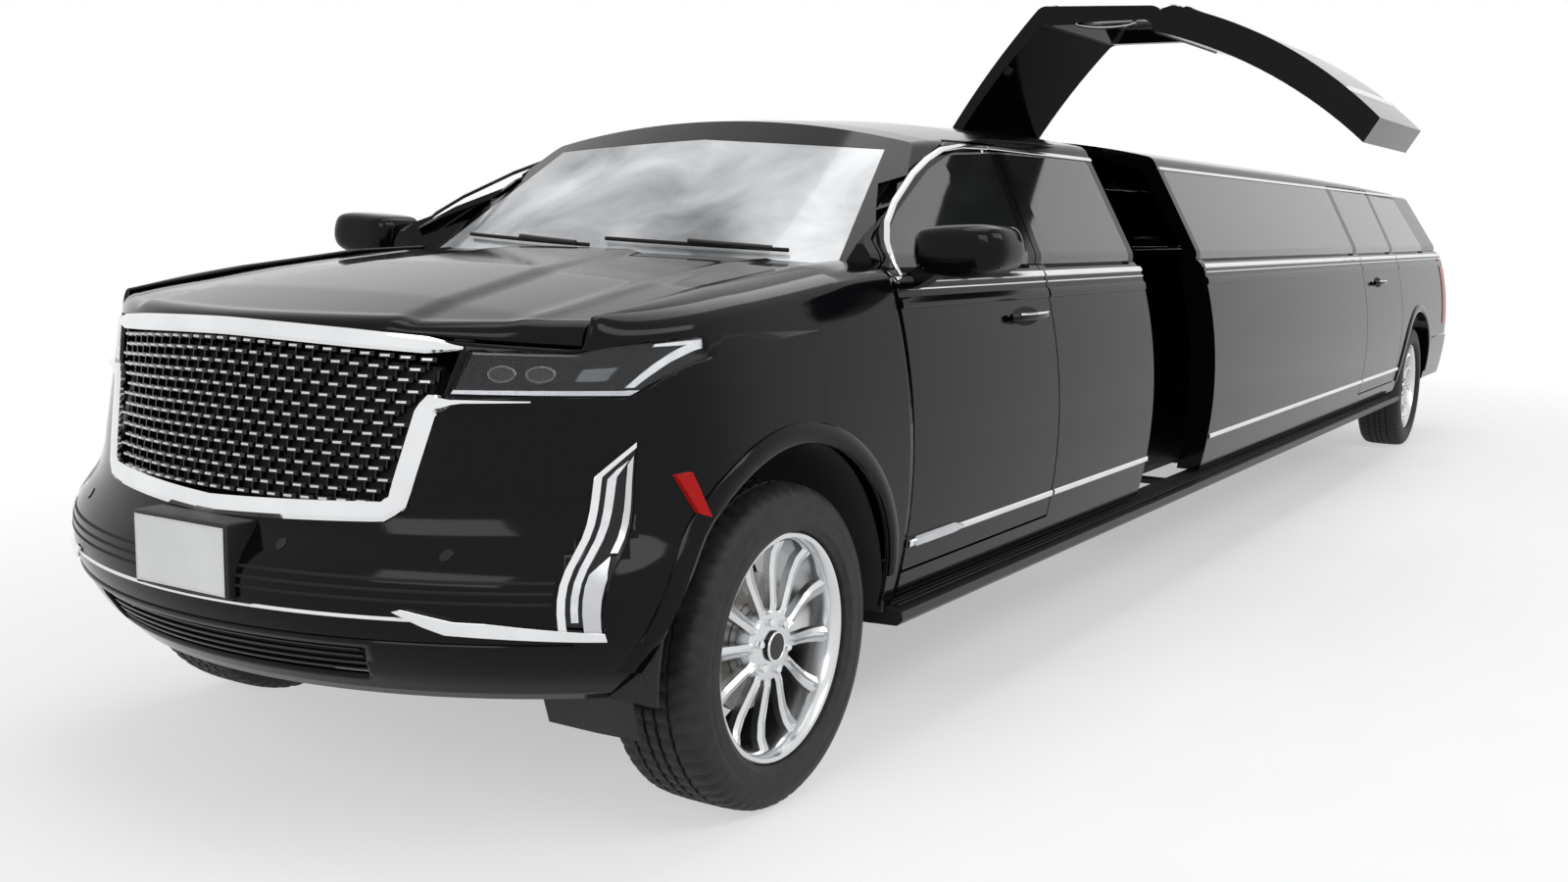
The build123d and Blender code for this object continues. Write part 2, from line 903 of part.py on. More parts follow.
# Front bumper with the plate's bracket
with BuildPart() as front_bumper:
    add(front_shell.part)
    add(block(470, 1100, -1300, 1300, 300, 1600), mode=Mode.INTERSECT)
    for cut in (
        front_prism(hood_outline(shut_gap), 400, 1100), both_sides(headlamp_region),
        both_sides(bumper_lamp_region), front_prism(lower_grille_outline, 500, 1100),
        both_sides(front_arch),
        front_prism(
            (*grille_outline[4:], grille_outline[0], (-600, 1300), (600, 1300)), 500, 1100,
        ),
        both_sides(block(460, 900, 560, hood_half_width + 12, 1150, 1400)),
        both_sides(block(460, 700, hood_half_width + 4, 1300, fender_nose_height - 4, 1400)),
    ):
        add(cut, mode=Mode.SUBTRACT)
    add(block(890, front_plate_x, -160, 160, 607, 778))
save(front_bumper.part, "front_bumper")
save(block(front_plate_x, front_plate_x + 2, -152, 152, 616, 768), "front_plate")

# Grille: bright frame, and the mesh behind it
grille_frame = panel(
    nose_volume(-6), front_prism(shrunk(grille_outline, 1), 500, 1100),
    [nose_volume(40), front_prism(grille_inner, 500, 1100)],
)
save(grille_frame, "grille_frame")
with BuildPart() as grille_mesh:
    add(nose_volume(28))
    add(nose_volume(42), mode=Mode.SUBTRACT)
    add(front_prism(shrunk(grille_inner, glass_fit), 500, 1100), mode=Mode.INTERSECT)
with BuildPart() as lower_mesh:
    add(nose_volume(28))
    add(nose_volume(42), mode=Mode.SUBTRACT)
    add(front_prism(shrunk(lower_grille_outline, glass_fit), 500, 1100), mode=Mode.INTERSECT)
with BuildPart() as meshes:
    add(grille_mesh.part)
    add(lower_mesh.part)
save(meshes.part, "grille_mesh")

# Lamps in the nose and at the tail's corners
with BuildPart() as lamps:
    add(
        both_sides(
            panel(front_shell.part, front_prism(shrunk(headlamp_outline, 1), headlamp_tip_x + 1, 1100))
        )
    )
    add(
        both_sides(
            panel(front_shell.part, front_prism(shrunk(bumper_lamp_outline, 1), 500, 1100))
        )
    )
    add(both_sides(panel(left_shell, tail_lamp_lens)))
save(lamps.part, "lamps")

# Cowl under the windscreen
with BuildPart() as cowl:
    with BuildSketch(plan_at(cowl_bottom)):
        with Locations((screen_axis_x, 0)):
            Circle(hood_rear_radius - shut_gap)
            Circle(hood_rear_radius - 175, mode=Mode.SUBTRACT)
    extrude(amount=screen_foot - cowl_bottom)
    add(block(-900, -380, -750, 750, 1200, 1400), mode=Mode.INTERSECT)
save(cowl.part, "cowl")

# Rear bumper
with BuildPart() as rear_bumper:
    add(lower_volume(0, 430, bumper_front_x - shut_gap, tail_x - 200))
    add(tail_trim(-60), mode=Mode.INTERSECT)
    add(block(tail_x - 200, 0, -1300, 1300, 430, bumper_top - 6), mode=Mode.INTERSECT)
    add(
        panel(lower_volume(60, 300, bumper_front_x + 50, tail_x - 200), tail_trim(10)),
        mode=Mode.SUBTRACT,
    )
save(rear_bumper.part, "rear_bumper")

# Running boards with brackets out from the frame rails
with BuildPart() as running_board:
    add(
        front_prism(
            ((905, 350), (1020, 355), (1038, 372), (1034, 396), (905, 408)),
            board_rear, board_front,
        )
    )
    for step in range(6):
        x = board_front - 400 - step * 1200
        add(block(x - 40, x + 40, rail_outer, 910, 360, 380))
save(both_sides(running_board.part), "running_boards")

# Frame: kicked up over both axles, with both jacking crossmembers
with BuildPart() as chassis_frame:
    add(
        both_sides(
            side_prism(
                (
                    (640, 470), (640, 570), (-420, 570), (-575, 445), (-7445, 445), (-7560, 560),
                    (-8900, 560), (-8900, 470), (-7620, 470), (-7500, 325), (-620, 325),
                    (-440, 470),
                ),
                rail_inner, rail_outer,
            )
        )
    )
    for x in (-1100, -2500, -3900, -5300, -6700):
        add(block(x - 40, x + 40, -rail_inner - 1, rail_inner + 1, 385, 445))
    for x in (600, -8500, -8860):
        add(block(x - 40, x + 40, -rail_inner - 1, rail_inner + 1, 490, 550))
    for x, top in ((0, 560), (rear_jack_x, 440)):
        add(block(x - 60, x + 60, -rail_inner, rail_inner, jack_pad_height, 300))
        add(both_sides(block(x - 60, x + 60, rail_inner - 55, rail_inner + 1, 300, top)))
    add(
        both_sides(
            block(rear_axle_x - 60, rear_axle_x + 60, rail_outer - 1, spring_y + 55, 540, 560)
        )
    )
save(chassis_frame.part, "chassis_frame")

# Floor, firewall and rear wheel tubs
with BuildPart() as floor_pan:
    add(block(floor_step_x, firewall_x, -930, 930, floor_height - 23, floor_height))
    add(
        block(
            floor_step_x, floor_step_x + 15, -930, 930, floor_height - 23, rear_floor_height,
        )
    )
    add(block(-9285, floor_step_x, -930, 930, rear_floor_height - 23, rear_floor_height))
    for x in (rear_axle_x,):
        tub = cylinder_across(x, axle_height, arch_radius + 6, liner_depth - 6, 950)
        add(panel(both_sides(tub), block(-9000, -7000, -1300, 1300, rear_floor_height - 23, 1000)))
    add(cabin_core.part, mode=Mode.INTERSECT)
    add(both_sides(rear_arch), mode=Mode.SUBTRACT)
    for x_from, x_to in (
        (jet_opening_rear - 10, jet_opening_front + 10), (rear_door_rear - 15, rear_door_front + 15),
    ):
        add(
            both_sides(block(x_from, x_to, sill_inner, 1300, 400, 600)), mode=Mode.SUBTRACT
        )
    add(block(firewall_x, firewall_x + 20, -775, 775, floor_height - 10, cowl_bottom - 1))
save(floor_pan.part, "floor_pan")

# Engine with its gearbox
with BuildPart() as engine:
    add(block(-420, 420, -330, 330, 600, 1080))
    add(block(-545, -400, -140, 140, 290, 700))
    add(block(-1000, -540, -140, 140, 290, 440))
save(engine.part, "engine_block")

# Rear axle, springs, propeller shaft and exhaust


def rod(start, end, radius):
    """A round bar between two points given above the road."""
    begin = Vector(*start) - Vector(0, 0, jack_pad_height)
    finish = Vector(*end) - Vector(0, 0, jack_pad_height)
    with BuildPart() as bar:
        with BuildSketch(Plane(origin=begin, z_dir=finish - begin)):
            Circle(radius)
        extrude(amount=(finish - begin).length)
    return bar.part


with BuildPart() as driveline:
    add(rod((rear_axle_x, -866, axle_height), (rear_axle_x, 866, axle_height), 42))
    add(
        rod(
            (rear_axle_x, -stub_end, axle_height), (rear_axle_x, stub_end, axle_height),
            hub_bore_radius - hub_clearance,
        )
    )
    add(rod((rear_axle_x, -110, axle_height), (rear_axle_x, 110, axle_height), 140))
    add(rod((-7480, 0, 342), (rear_axle_x, 0, axle_height), 24))
    add(rod((-1000, 0, 342), (-7500, 0, 342), 30))
    for side in (-1, 1):
        add(
            rod(
                (rear_axle_x, side * spring_y, axle_height),
                (rear_axle_x, side * spring_y, 540), 48,
            )
        )
    add(rod((-1100, -250, 345), (-7480, -250, 345), 30))
    add(rod((-7460, -250, 345), (-7720, -250, 316), 25))
    add(rod((-7700, -250, 316), (-9380, -250, 316), 29))
    add(rod((-5500, -250, 345), (-6500, -250, 345), 70))
save(driveline.part, "driveline")

# Front suspension arms, reaching from the crossmember to the kingpins
with BuildPart() as arms:
    for low in (245, 575):
        with BuildSketch(plan_at(low)) as arm:
            with BuildLine():
                Polyline(
                    (130, rail_inner), (130, rail_outer + 10), (20, kingpin_y),
                    (-20, kingpin_y), (-130, rail_outer + 10), (-130, rail_inner), close=True,
                )
            make_face()
            with Locations((0, kingpin_y)):
                Circle(20)
        extrude(amount=20)
save(both_sides(arms.part), "front_suspension")

# Knuckles: kingpin, hub carrier and the stub that the wheel turns on
with BuildPart() as knuckle:
    add(rod((0, kingpin_y, 265.5), (0, kingpin_y, 574.5), 18))
    add(rod((0, kingpin_y - 25, axle_height), (0, hub_face_y, axle_height), 55))
    add(
        rod(
            (0, kingpin_y, axle_height), (0, stub_end, axle_height),
            hub_bore_radius - hub_clearance,
        )
    )
    add(block(-130, 0, kingpin_y - 22, kingpin_y - 2, 400, 425))
save(knuckle.part, "knuckle_left")
save(mirrored(knuckle.part), "knuckle_right")


def wheel_profile(points):
    """A closed profile of points along Y and out from the axle."""
    with BuildSketch(section_at(0)) as profile:
        with BuildLine():
            Polyline(*((y, axle_height + radius) for y, radius in points), close=True)
        make_face()
    return profile.sketch


wheel_axis = Axis((0, 0, axle_height - jack_pad_height), (0, 1, 0))
rim_inner_y = (track - rim_width) / 2
rim_outer_y = (track + rim_width) / 2
tyre_inner_y = (track - tyre_width) / 2
tyre_outer_y = (track + tyre_width) / 2

# Rim with barrel, brake disc, hub and spokes
with BuildPart() as wheel_rim:
    add(
        wheel_profile(
            (
                (rim_inner_y, rim_radius), (rim_outer_y, rim_radius),
                (rim_outer_y, rim_radius - 18), (rim_outer_y - 14, rim_radius - 26),
                (rim_outer_y - 50, rim_radius - 36), (rim_inner_y, rim_radius - 36),
            )
        )
    )
    add(
        wheel_profile(
            (
                (876, hub_bore_radius), (876, 165), (893, 165), (893, 85), (958, 85),
                (966, 60), (966, 0), (955, 0), (955, hub_bore_radius),
            )
        )
    )
    revolve(axis=wheel_axis)
    with BuildSketch(side_at(968)):
        with Locations((0, axle_height)):
            with PolarLocations((rim_radius - 30 + 70) / 2, spoke_count):
                Rectangle(rim_radius - 30 - 70, 30)
    extrude(amount=36)

with BuildPart() as wheel_tyre:
    add(
        wheel_profile(
            (
                (rim_inner_y - 8, rim_radius + tyre_fit), (tyre_inner_y, rim_radius + 38),
                (tyre_inner_y, 362), (tyre_inner_y + 22, 398), (tyre_inner_y + 55, axle_height),
                (tyre_outer_y - 55, axle_height), (tyre_outer_y - 22, 398), (tyre_outer_y, 362),
                (tyre_outer_y, rim_radius + 38), (rim_outer_y + 8, rim_radius + tyre_fit),
            )
        )
    )
    revolve(axis=wheel_axis)

for end, x in (("front", 0), ("rear", rear_axle_x)):
    for kind, part in (("rim", wheel_rim.part), ("tyre", wheel_tyre.part)):
        left = part.translate((x, 0, 0))
        save(left, f"{kind}_{end}_left")
        save(mirrored(left), f"{kind}_{end}_right")

# Dashboard with its column and steering wheel
with BuildPart() as dashboard:
    add(
        side_prism(
            (
                (-600, 960), (-600, 1285), (-760, 1285), (-900, 1180), (-890, 960), (-700, 900),
            ),
            775, -775,
        )
    )
    add(rod((-860, driver_y, 1050), (-1034, driver_y, 1126), 28))
    wheel_plane = Plane(
        origin=(-1030, driver_y, 1124 - jack_pad_height), z_dir=(-0.92, 0, 0.4)
    )
    with Locations(Location(wheel_plane)):
        Torus(175, 15)
        Box(350, 30, 14)
save(dashboard.part, "dashboard")

# Seats: two in front, a bench along the right side and one at the rear
with BuildPart() as seats:
    add(
        both_sides(
            side_prism(
                (
                    (-1110, floor_height + seat_fit), (-1090, 660), (-1110, 700), (-1520, 680),
                    (-1620, 1270), (-1650, 1450), (-1740, 1440), (-1740, 1270), (-1660, 640),
                    (-1620, floor_height + seat_fit),
                ),
                driver_y + 240, driver_y - 240, 12,
            )
        )
    )
    add(
        front_prism(
            (
                (-835, floor_height + seat_fit), (-835, 1240), (-750, 1240), (-700, 900),
                (-290, 890), (-270, 850), (-300, floor_height + seat_fit),
            ),
            -7300, -2300,
        )
    )
    add(
        side_prism(
            (
                (-8060, rear_floor_height + seat_fit), (-8060, 930), (-8560, 910), (-8690, 1360),
                (-8830, 1360), (-8830, rear_floor_height + seat_fit),
            ),
            470, -470,
        )
    )
save(seats.part, "seats")

# Strut beside the jet door's opening, drawn where the door stands raised
strut_foot = Vector(strut_x, strut_body_y, strut_body_height - jack_pad_height)
closed_eye = Vertex(strut_x, strut_door_y, strut_door_height - jack_pad_height)
strut_eye = Vector(*tuple(raised(closed_eye)))
strut_plane = Plane(origin=strut_foot, x_dir=(1, 0, 0), z_dir=strut_eye - strut_foot)
strut_length = (strut_eye - strut_foot).length

with BuildPart() as strut_tube:
    with BuildSketch(strut_plane):
        Circle(strut_tube_radius)
    extrude(amount=strut_tube_length)
    with Locations(Location(Plane(origin=strut_foot, z_dir=(1, 0, 0)))):
        Cylinder(strut_tube_radius + 3, 2 * strut_eye_half)
        Cylinder(strut_pin_radius + pin_clearance, 2 * strut_eye_half, mode=Mode.SUBTRACT)
    with BuildSketch(strut_plane.offset(40)):
        Circle(strut_rod_radius + pin_clearance)
    extrude(amount=strut_tube_length, mode=Mode.SUBTRACT)
save(strut_tube.part, "strut_tube")

with BuildPart() as strut_rod:
    with BuildSketch(strut_plane.offset(strut_length - strut_rod_length)):
        Circle(strut_rod_radius)
    extrude(amount=strut_rod_length)
    with Locations(Location(Plane(origin=strut_eye, z_dir=(1, 0, 0)))):
        Cylinder(strut_tube_radius, 2 * strut_eye_half)
        Cylinder(strut_pin_radius, 2 * strut_eye_half, mode=Mode.SUBTRACT)
save(strut_rod.part, "strut_rod")
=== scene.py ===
"""Looks of the stretch limousine: materials, body skin, trim, lamps, wheels and camera.

Metres, in the frame of the CAD model. Heights named as road heights are counted from the road,
and the origin is JACK_HEIGHT above it.
"""

import math

import bmesh
import bpy
from mathutils import Matrix, Vector


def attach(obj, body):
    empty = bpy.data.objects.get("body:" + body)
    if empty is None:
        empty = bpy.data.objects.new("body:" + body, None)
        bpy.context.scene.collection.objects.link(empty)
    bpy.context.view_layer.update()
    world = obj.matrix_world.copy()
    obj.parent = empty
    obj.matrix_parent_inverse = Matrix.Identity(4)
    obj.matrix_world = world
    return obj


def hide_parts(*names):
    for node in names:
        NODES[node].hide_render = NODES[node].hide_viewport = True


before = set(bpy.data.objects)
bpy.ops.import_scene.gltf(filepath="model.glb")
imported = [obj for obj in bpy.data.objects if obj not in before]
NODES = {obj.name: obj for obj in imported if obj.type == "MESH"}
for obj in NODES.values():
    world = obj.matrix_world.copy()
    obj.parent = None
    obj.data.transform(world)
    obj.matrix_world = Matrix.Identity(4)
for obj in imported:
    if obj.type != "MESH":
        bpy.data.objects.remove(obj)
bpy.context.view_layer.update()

JACK_HEIGHT = 0.240
AXLE_HEIGHT = 0.411
REAR_AXLE_X = -8.151
TRACK = 1.740
ARCH_RADIUS = 0.515
FLARE_RADIUS = 0.541
FLARE_WIDTH = 0.050
SCREEN_BASE_X, SCREEN_BASE_HEIGHT = -0.470, 1.360
SCREEN_RADIUS, SCREEN_RAKE = 1.900, 1.6
TAIL_X, TAIL_RADIUS = -9.390, 3.4
TAIL_BEND_HEIGHT, TAIL_LEAN = 1.180, 0.36
CAR = "car_body"
SIDES = ((1, "left"), (-1, "right"))


def road(height):
    """A height above the road in the model's frame."""
    return height - JACK_HEIGHT


def linked(name, data):
    """A new object with its data, linked to the scene."""
    made = bpy.data.objects.new(name, data)
    bpy.context.scene.collection.objects.link(made)
    return made


# Materials

def set_inputs(node, values):
    """Sets a node's inputs by their names."""
    for name, value in values.items():
        node.inputs[name].default_value = value


def new_material(name, base, roughness, metallic=0.0, coat=0.0, specular=0.5):
    """A principled material with its uniform values on the shader itself."""
    material = bpy.data.materials.new(name)
    material.use_nodes = True
    shader = material.node_tree.nodes["Principled BSDF"]
    set_inputs(shader, {
        "Base Color": (*base, 1.0), "Roughness": roughness, "Metallic": metallic,
        "Coat Weight": coat, "Coat Roughness": 0.03, "Specular IOR Level": specular,
    })
    return material, shader


def noise(material, scale, detail=4.0, stretch=(1.0, 1.0, 1.0), distortion=0.0):
    """A noise pattern fixed to the object."""
    nodes = material.node_tree.nodes
    links = material.node_tree.links
    coordinates = nodes.new("ShaderNodeTexCoord")
    mapping = nodes.new("ShaderNodeMapping")
    mapping.inputs["Scale"].default_value = stretch
    texture = nodes.new("ShaderNodeTexNoise")
    set_inputs(texture, {"Scale": scale, "Detail": detail, "Distortion": distortion})
    links.new(coordinates.outputs["Object"], mapping.inputs["Vector"])
    links.new(mapping.outputs["Vector"], texture.inputs["Vector"])
    return texture.outputs["Fac"]


def between_sockets(material, kind, source, inlet, outlet, target):
    """A new node of a kind, wired from a pattern's output to one of the shader's inputs."""
    node = material.node_tree.nodes.new(kind)
    material.node_tree.links.new(source, node.inputs[inlet])
    material.node_tree.links.new(node.outputs[outlet], target)
    return node


def vary_colour(material, shader, factor, dark, light, low=0.35, high=0.65):
    """Lets a pattern run the colour from dark to light."""
    ramp = between_sockets(
        material, "ShaderNodeValToRGB", factor, "Fac", "Color", shader.inputs["Base Color"],
    )
    first, last = ramp.color_ramp.elements
    first.color, first.position = (*dark, 1.0), low
    last.color, last.position = (*light, 1.0), high


def vary_roughness(material, shader, factor, low, high):
    """Lets a pattern run the roughness from low to high."""
    ranged = between_sockets(
        material, "ShaderNodeMapRange", factor, "Value", "Result", shader.inputs["Roughness"],
    )
    set_inputs(ranged, {"To Min": low, "To Max": high})


def add_bump(material, shader, factor, strength, distance):
    """Lets a pattern raise the surface."""
    bump = between_sockets(
        material, "ShaderNodeBump", factor, "Height", "Normal", shader.inputs["Normal"],
    )
    set_inputs(bump, {"Strength": strength, "Distance": distance})


def paint_material():
    """Deep gloss black with a faint metallic fleck."""
    material, shader = new_material("black_paint", (0.003, 0.003, 0.004), 0.12, specular=0.14)
    fleck = noise(material, 900.0, 2.0)
    vary_colour(material, shader, fleck, (0.0015, 0.0015, 0.002), (0.004, 0.004, 0.005))
    vary_roughness(material, shader, noise(material, 1.3, 3.0), 0.06, 0.13)
    return material


def metal_material(name, base, low, high, scale):
    """Metal whose roughness and tone vary."""
    material, shader = new_material(name, base, low, 1.0)
    vary_roughness(material, shader, noise(material, scale), low, high)
    vary_colour(
        material, shader, noise(material, scale * 0.4), tuple(v * 0.92 for v in base), base
    )
    return material


def plastic_material(name, base, roughness, grain):
    """Plastic with a fine grain."""
    material, shader = new_material(name, base, roughness, specular=0.35)
    vary_colour(material, shader, noise(material, 6.0), base, tuple(v * 1.5 for v in base))
    add_bump(material, shader, noise(material, grain, 6.0), 0.25, 0.0006)
    return material


def grained_material(name, dark, light, roughness, scale, metallic=0.0, depth=0.001):
    """A surface whose colour, roughness and height follow one grain."""
    material, shader = new_material(name, dark, roughness, metallic, specular=0.35)
    grain = noise(material, scale, 6.0)
    vary_colour(material, shader, grain, dark, light)
    vary_roughness(material, shader, grain, roughness * 0.85, min(roughness * 1.2, 1.0))
    add_bump(material, shader, grain, 0.35, depth)
    return material


def leather_material():
    """Dark leather with small cells."""
    material, shader = new_material("seat_leather", (0.030, 0.027, 0.025), 0.45)
    vary_colour(material, shader, noise(material, 4.0), (0.022, 0.020, 0.019), (0.045, 0.04, 0.037))
    cells = material.node_tree.nodes.new("ShaderNodeTexVoronoi")
    cells.inputs["Scale"].default_value = 260.0
    coordinates = material.node_tree.nodes.new("ShaderNodeTexCoord")
    material.node_tree.links.new(coordinates.outputs["Object"], cells.inputs["Vector"])
    add_bump(material, shader, cells.outputs["Distance"], 0.35, 0.0008)
    return material


def glass_with_painted_light(name, dark, light, roughness, scale, stretch, low=0.35, high=0.65):
    """Tinted glass whose colour runs from dark to light in patches of painted reflection and
    painted light.
    """
    material, shader = new_material(name, dark, roughness, coat=0.3)
    # The patches paint reflections and light into the glass's colour
    painted_light_patches = noise(material, scale, 5.0, stretch, 0.6)
    vary_colour(material, shader, painted_light_patches, dark, light, low, high)
    vary_roughness(material, shader, noise(material, 3.0), roughness * 0.7, roughness * 1.3)
    return material


def lens_material(name, base, transmission):
    """Clear or coloured lens of a lamp."""
    material, shader = new_material(name, base, 0.04)
    set_inputs(shader, {"Transmission Weight": transmission, "IOR": 1.2})
    vary_roughness(material, shader, noise(material, 25.0), 0.01, 0.05)
    return material


PAINT = paint_material()
CHROME = metal_material("bright_chrome", (0.82, 0.83, 0.84), 0.04, 0.12, 14.0)
SATIN = metal_material("satin_silver", (0.60, 0.61, 0.63), 0.2, 0.32, 30.0)
ALLOY = metal_material("wheel_alloy", (0.70, 0.71, 0.72), 0.14, 0.26, 9.0)
PLASTIC = plastic_material("grained_black", (0.010, 0.010, 0.011), 0.42, 320.0)
GLOSS = plastic_material("gloss_black", (0.003, 0.003, 0.0035), 0.1, 30.0)
MATT = plastic_material("matt_black", (0.004, 0.004, 0.004), 0.8, 200.0)
RUBBER = grained_material(
    "tyre_rubber", (0.008, 0.008, 0.008), (0.022, 0.021, 0.020), 0.6, 24.0, depth=0.0004,
)
LEATHER = leather_material()
COATING = grained_material(
    "underbody_coat", (0.012, 0.012, 0.012), (0.035, 0.034, 0.032), 0.85, 220.0,
)
STEEL = grained_material("plain_steel", (0.20, 0.18, 0.16), (0.42, 0.41, 0.40), 0.45, 7.0, 1.0)
CASTING = grained_material("cast_metal", (0.13, 0.13, 0.13), (0.26, 0.26, 0.26), 0.55, 90.0, 0.8)
CHASSIS = grained_material(
    "chassis_black", (0.010, 0.010, 0.010), (0.028, 0.027, 0.026), 0.5, 40.0,
)
# Dark glass: its slightly lighter patches are painted reflections of trees
DARK_GLASS_PAINTED_REFLECTION = glass_with_painted_light(
    "dark_glass", (0.0015, 0.0016, 0.0018), (0.012, 0.013, 0.013), 0.05, 1.6, (0.5, 1.0, 2.2),
)
# Windshield: grey patches from dark to pale are a painted reflection of sky and clouds
WINDSHIELD_PAINTED_REFLECTION = glass_with_painted_light(
    "windshield_glass_painted_reflection", (0.09, 0.095, 0.10), (0.62, 0.63, 0.64), 0.12, 2.3, (0.8, 1.0, 1.9),
    0.30, 0.72,
)
LENS = lens_material("clear_lens", (0.95, 0.96, 0.97), 1.0)
RED_LENS = lens_material("red_lens", (0.50, 0.012, 0.01), 0.25)
PLATE = grained_material(
    "plate_white", (0.72, 0.72, 0.71), (0.78, 0.78, 0.77), 0.4, 5.0, depth=0.0001,
)
GUIDE = grained_material(
    "light_guide", (0.70, 0.71, 0.73), (0.80, 0.81, 0.82), 0.2, 40.0, depth=0.0001,
)
SMOKED = metal_material("smoked_reflector", (0.16, 0.165, 0.17), 0.1, 0.22, 20.0)
# Pale patchy sheet inside the raised door's window: painted light
PAINTED_LIGHT_SHEET = glass_with_painted_light(
    "inner_painted_light", (0.10, 0.105, 0.10), (0.34, 0.35, 0.34), 0.2, 3.0, (1.0, 1.0, 1.0),
)
LINING = plastic_material("cabin_lining", (0.012, 0.012, 0.013), 0.7, 90.0)

NODE_MATERIALS = {
    "windshield": WINDSHIELD_PAINTED_REFLECTION,
    "grille_mesh": MATT,
    "front_plate": PLATE,
    "cowl": PLASTIC,
    "running_boards": PLASTIC,
    "chassis_frame": CHASSIS,
    "floor_pan": COATING,
    "engine_block": CASTING,
    "driveline": STEEL,
    "front_suspension": CHASSIS,
    "knuckle_left": CASTING,
    "knuckle_right": CASTING,
    "dashboard": PLASTIC,
    "seats": LEATHER,
    "strut_tube": GLOSS,
    "strut_rod": CHROME,
}
for name, node in NODES.items():
    material = NODE_MATERIALS.get(name, PAINT)
    if "glass" in name:
        material = DARK_GLASS_PAINTED_REFLECTION
    node.data.materials.clear()
    node.data.materials.append(material)


# Making of pieces

JET_HINGE = Vector((0.0, 0.120, road(1.850)))
JET_OPEN = math.radians(59.0)
JET_RAISE = (
    Matrix.Translation(JET_HINGE)
    @ Matrix.Rotation(JET_OPEN, 4, "X")
    @ Matrix.Translation(-JET_HINGE)
)


def crisp(mesh, degrees=32):
    """Smooth shading with the edges over an angle kept sharp."""
    build = bmesh.new()
    build.from_mesh(mesh)
    bmesh.ops.recalc_face_normals(build, faces=build.faces)
    for edge in build.edges:
        edge.smooth = len(edge.link_faces) == 2 and edge.calc_face_angle(0) < math.radians(degrees)
    for face in build.faces:
        face.smooth = True
    build.to_mesh(mesh)
    build.free()


def ring_faces(rings, ring, base=0, closed=False):
    """Faces between rings of points that follow one another, with end caps unless closed."""
    faces = []
    for index in range(rings if closed else rings - 1):
        here, following = base + index * ring, base + (index + 1) % rings * ring
        for j in range(ring):
            k = (j + 1) % ring
            faces.append((here + j, here + k, following + k, following + j))
    if not closed:
        last = base + (rings - 1) * ring
        faces.append(tuple(range(base, base + ring)))
        faces.append(tuple(range(last, last + ring)))
    return faces


def circle_point(radius, angle):
    """The pair at an angle in radians on a circle about zero."""
    return radius * math.cos(angle), radius * math.sin(angle)


def wheel_arc(radius, degrees, centre_x=0.0):
    """Pairs (x, road height) on a circle about a wheel's axle, for angles in degrees."""
    points = [circle_point(radius, math.radians(angle)) for angle in degrees]
    return [(centre_x + x, AXLE_HEIGHT + z) for x, z in points]


def make_piece(name, verts, faces, material, body=CAR, jet=False, angle=32):
    """A mesh piece that rides on a body; jet turns it up with the raised jet door."""
    mesh = bpy.data.meshes.new(name)
    mesh.from_pydata([tuple(v) for v in verts], [], faces)
    mesh.validate()
    crisp(mesh, angle)
    if jet:
        mesh.transform(JET_RAISE)
    mesh.materials.append(material)
    piece = linked(name, mesh)
    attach(piece, body)
    return piece


def bevelled(piece, width, segments=2):
    """The same piece with its sharp edges rounded."""
    modifier = piece.modifiers.new("bevel", "BEVEL")
    modifier.width = width
    modifier.segments = segments
    modifier.limit_method = "ANGLE"
    modifier.angle_limit = math.radians(40)
    return piece


def between(points, at):
    """Straight interpolation in a table of (at, value) pairs in rising order."""
    if at <= points[0][0]:
        return points[0][1]
    for (low, first), (high, second) in zip(points, points[1:]):
        if at <= high:
            return first + (second - first) * (at - low) / (high - low)
    return points[-1][1]


def smooth_between(points, at):
    """Interpolation with continuous slope in a table of (at, value) pairs in rising order."""
    at = min(max(at, points[0][0]), points[-1][0])
    index = max(i for i in range(len(points) - 1) if points[i][0] <= at)

    def slope(i):
        low, high = max(i - 1, 0), min(i + 1, len(points) - 1)
        return (points[high][1] - points[low][1]) / (points[high][0] - points[low][0])

    (x0, y0), (x1, y1) = points[index], points[index + 1]
    length = x1 - x0
    t = (at - x0) / length
    return (
        (2 * t**3 - 3 * t**2 + 1) * y0 + (t**3 - 2 * t**2 + t) * length * slope(index)
        + (3 * t**2 - 2 * t**3) * y1 + (t**3 - t**2) * length * slope(index + 1)
    )


def arc_half_width(height, start, middle, end):
    """Half width at a height on the arc through three (half width, height) points."""
    (x1, y1), (x2, y2), (x3, y3) = start, middle, end
    det = 2 * (x1 * (y2 - y3) + x2 * (y3 - y1) + x3 * (y1 - y2))
    s1, s2, s3 = x1 * x1 + y1 * y1, x2 * x2 + y2 * y2, x3 * x3 + y3 * y3
    cx = (s1 * (y2 - y3) + s2 * (y3 - y1) + s3 * (y1 - y2)) / det
    cy = (s1 * (x3 - x2) + s2 * (x1 - x3) + s3 * (x2 - x1)) / det
    radius = math.hypot(x1 - cx, y1 - cy)
    return cx + math.sqrt(max(radius**2 - (height - cy) ** 2, 0.0))


SILL, WAIST, BELT = (0.985, 0.425), (1.030, 0.860), (0.955, 1.300)
WINDOW_RISE, WINDOW_LEAN = 0.465, 0.250


def on_body(side):
    """Places (x, road height, out) on the body side behind the front fender."""
    def place(x, height, out):
        if height < BELT[1]:
            half = arc_half_width(height, SILL, WAIST, BELT)
        else:
            half = BELT[0] - (height - BELT[1]) / WINDOW_RISE * WINDOW_LEAN
        return Vector((x, side * (half + out), road(height)))
    return place


def direction_at(points, index):
    """The direction of a line of points at one of them."""
    return (points[min(index + 1, len(points) - 1)] - points[max(index - 1, 0)]).normalized()


RIBBON_SECTION = ((-1, -0.004), (-1, 0.5), (-0.6, 1.0), (0.6, 1.0), (1, 0.5), (1, -0.004))


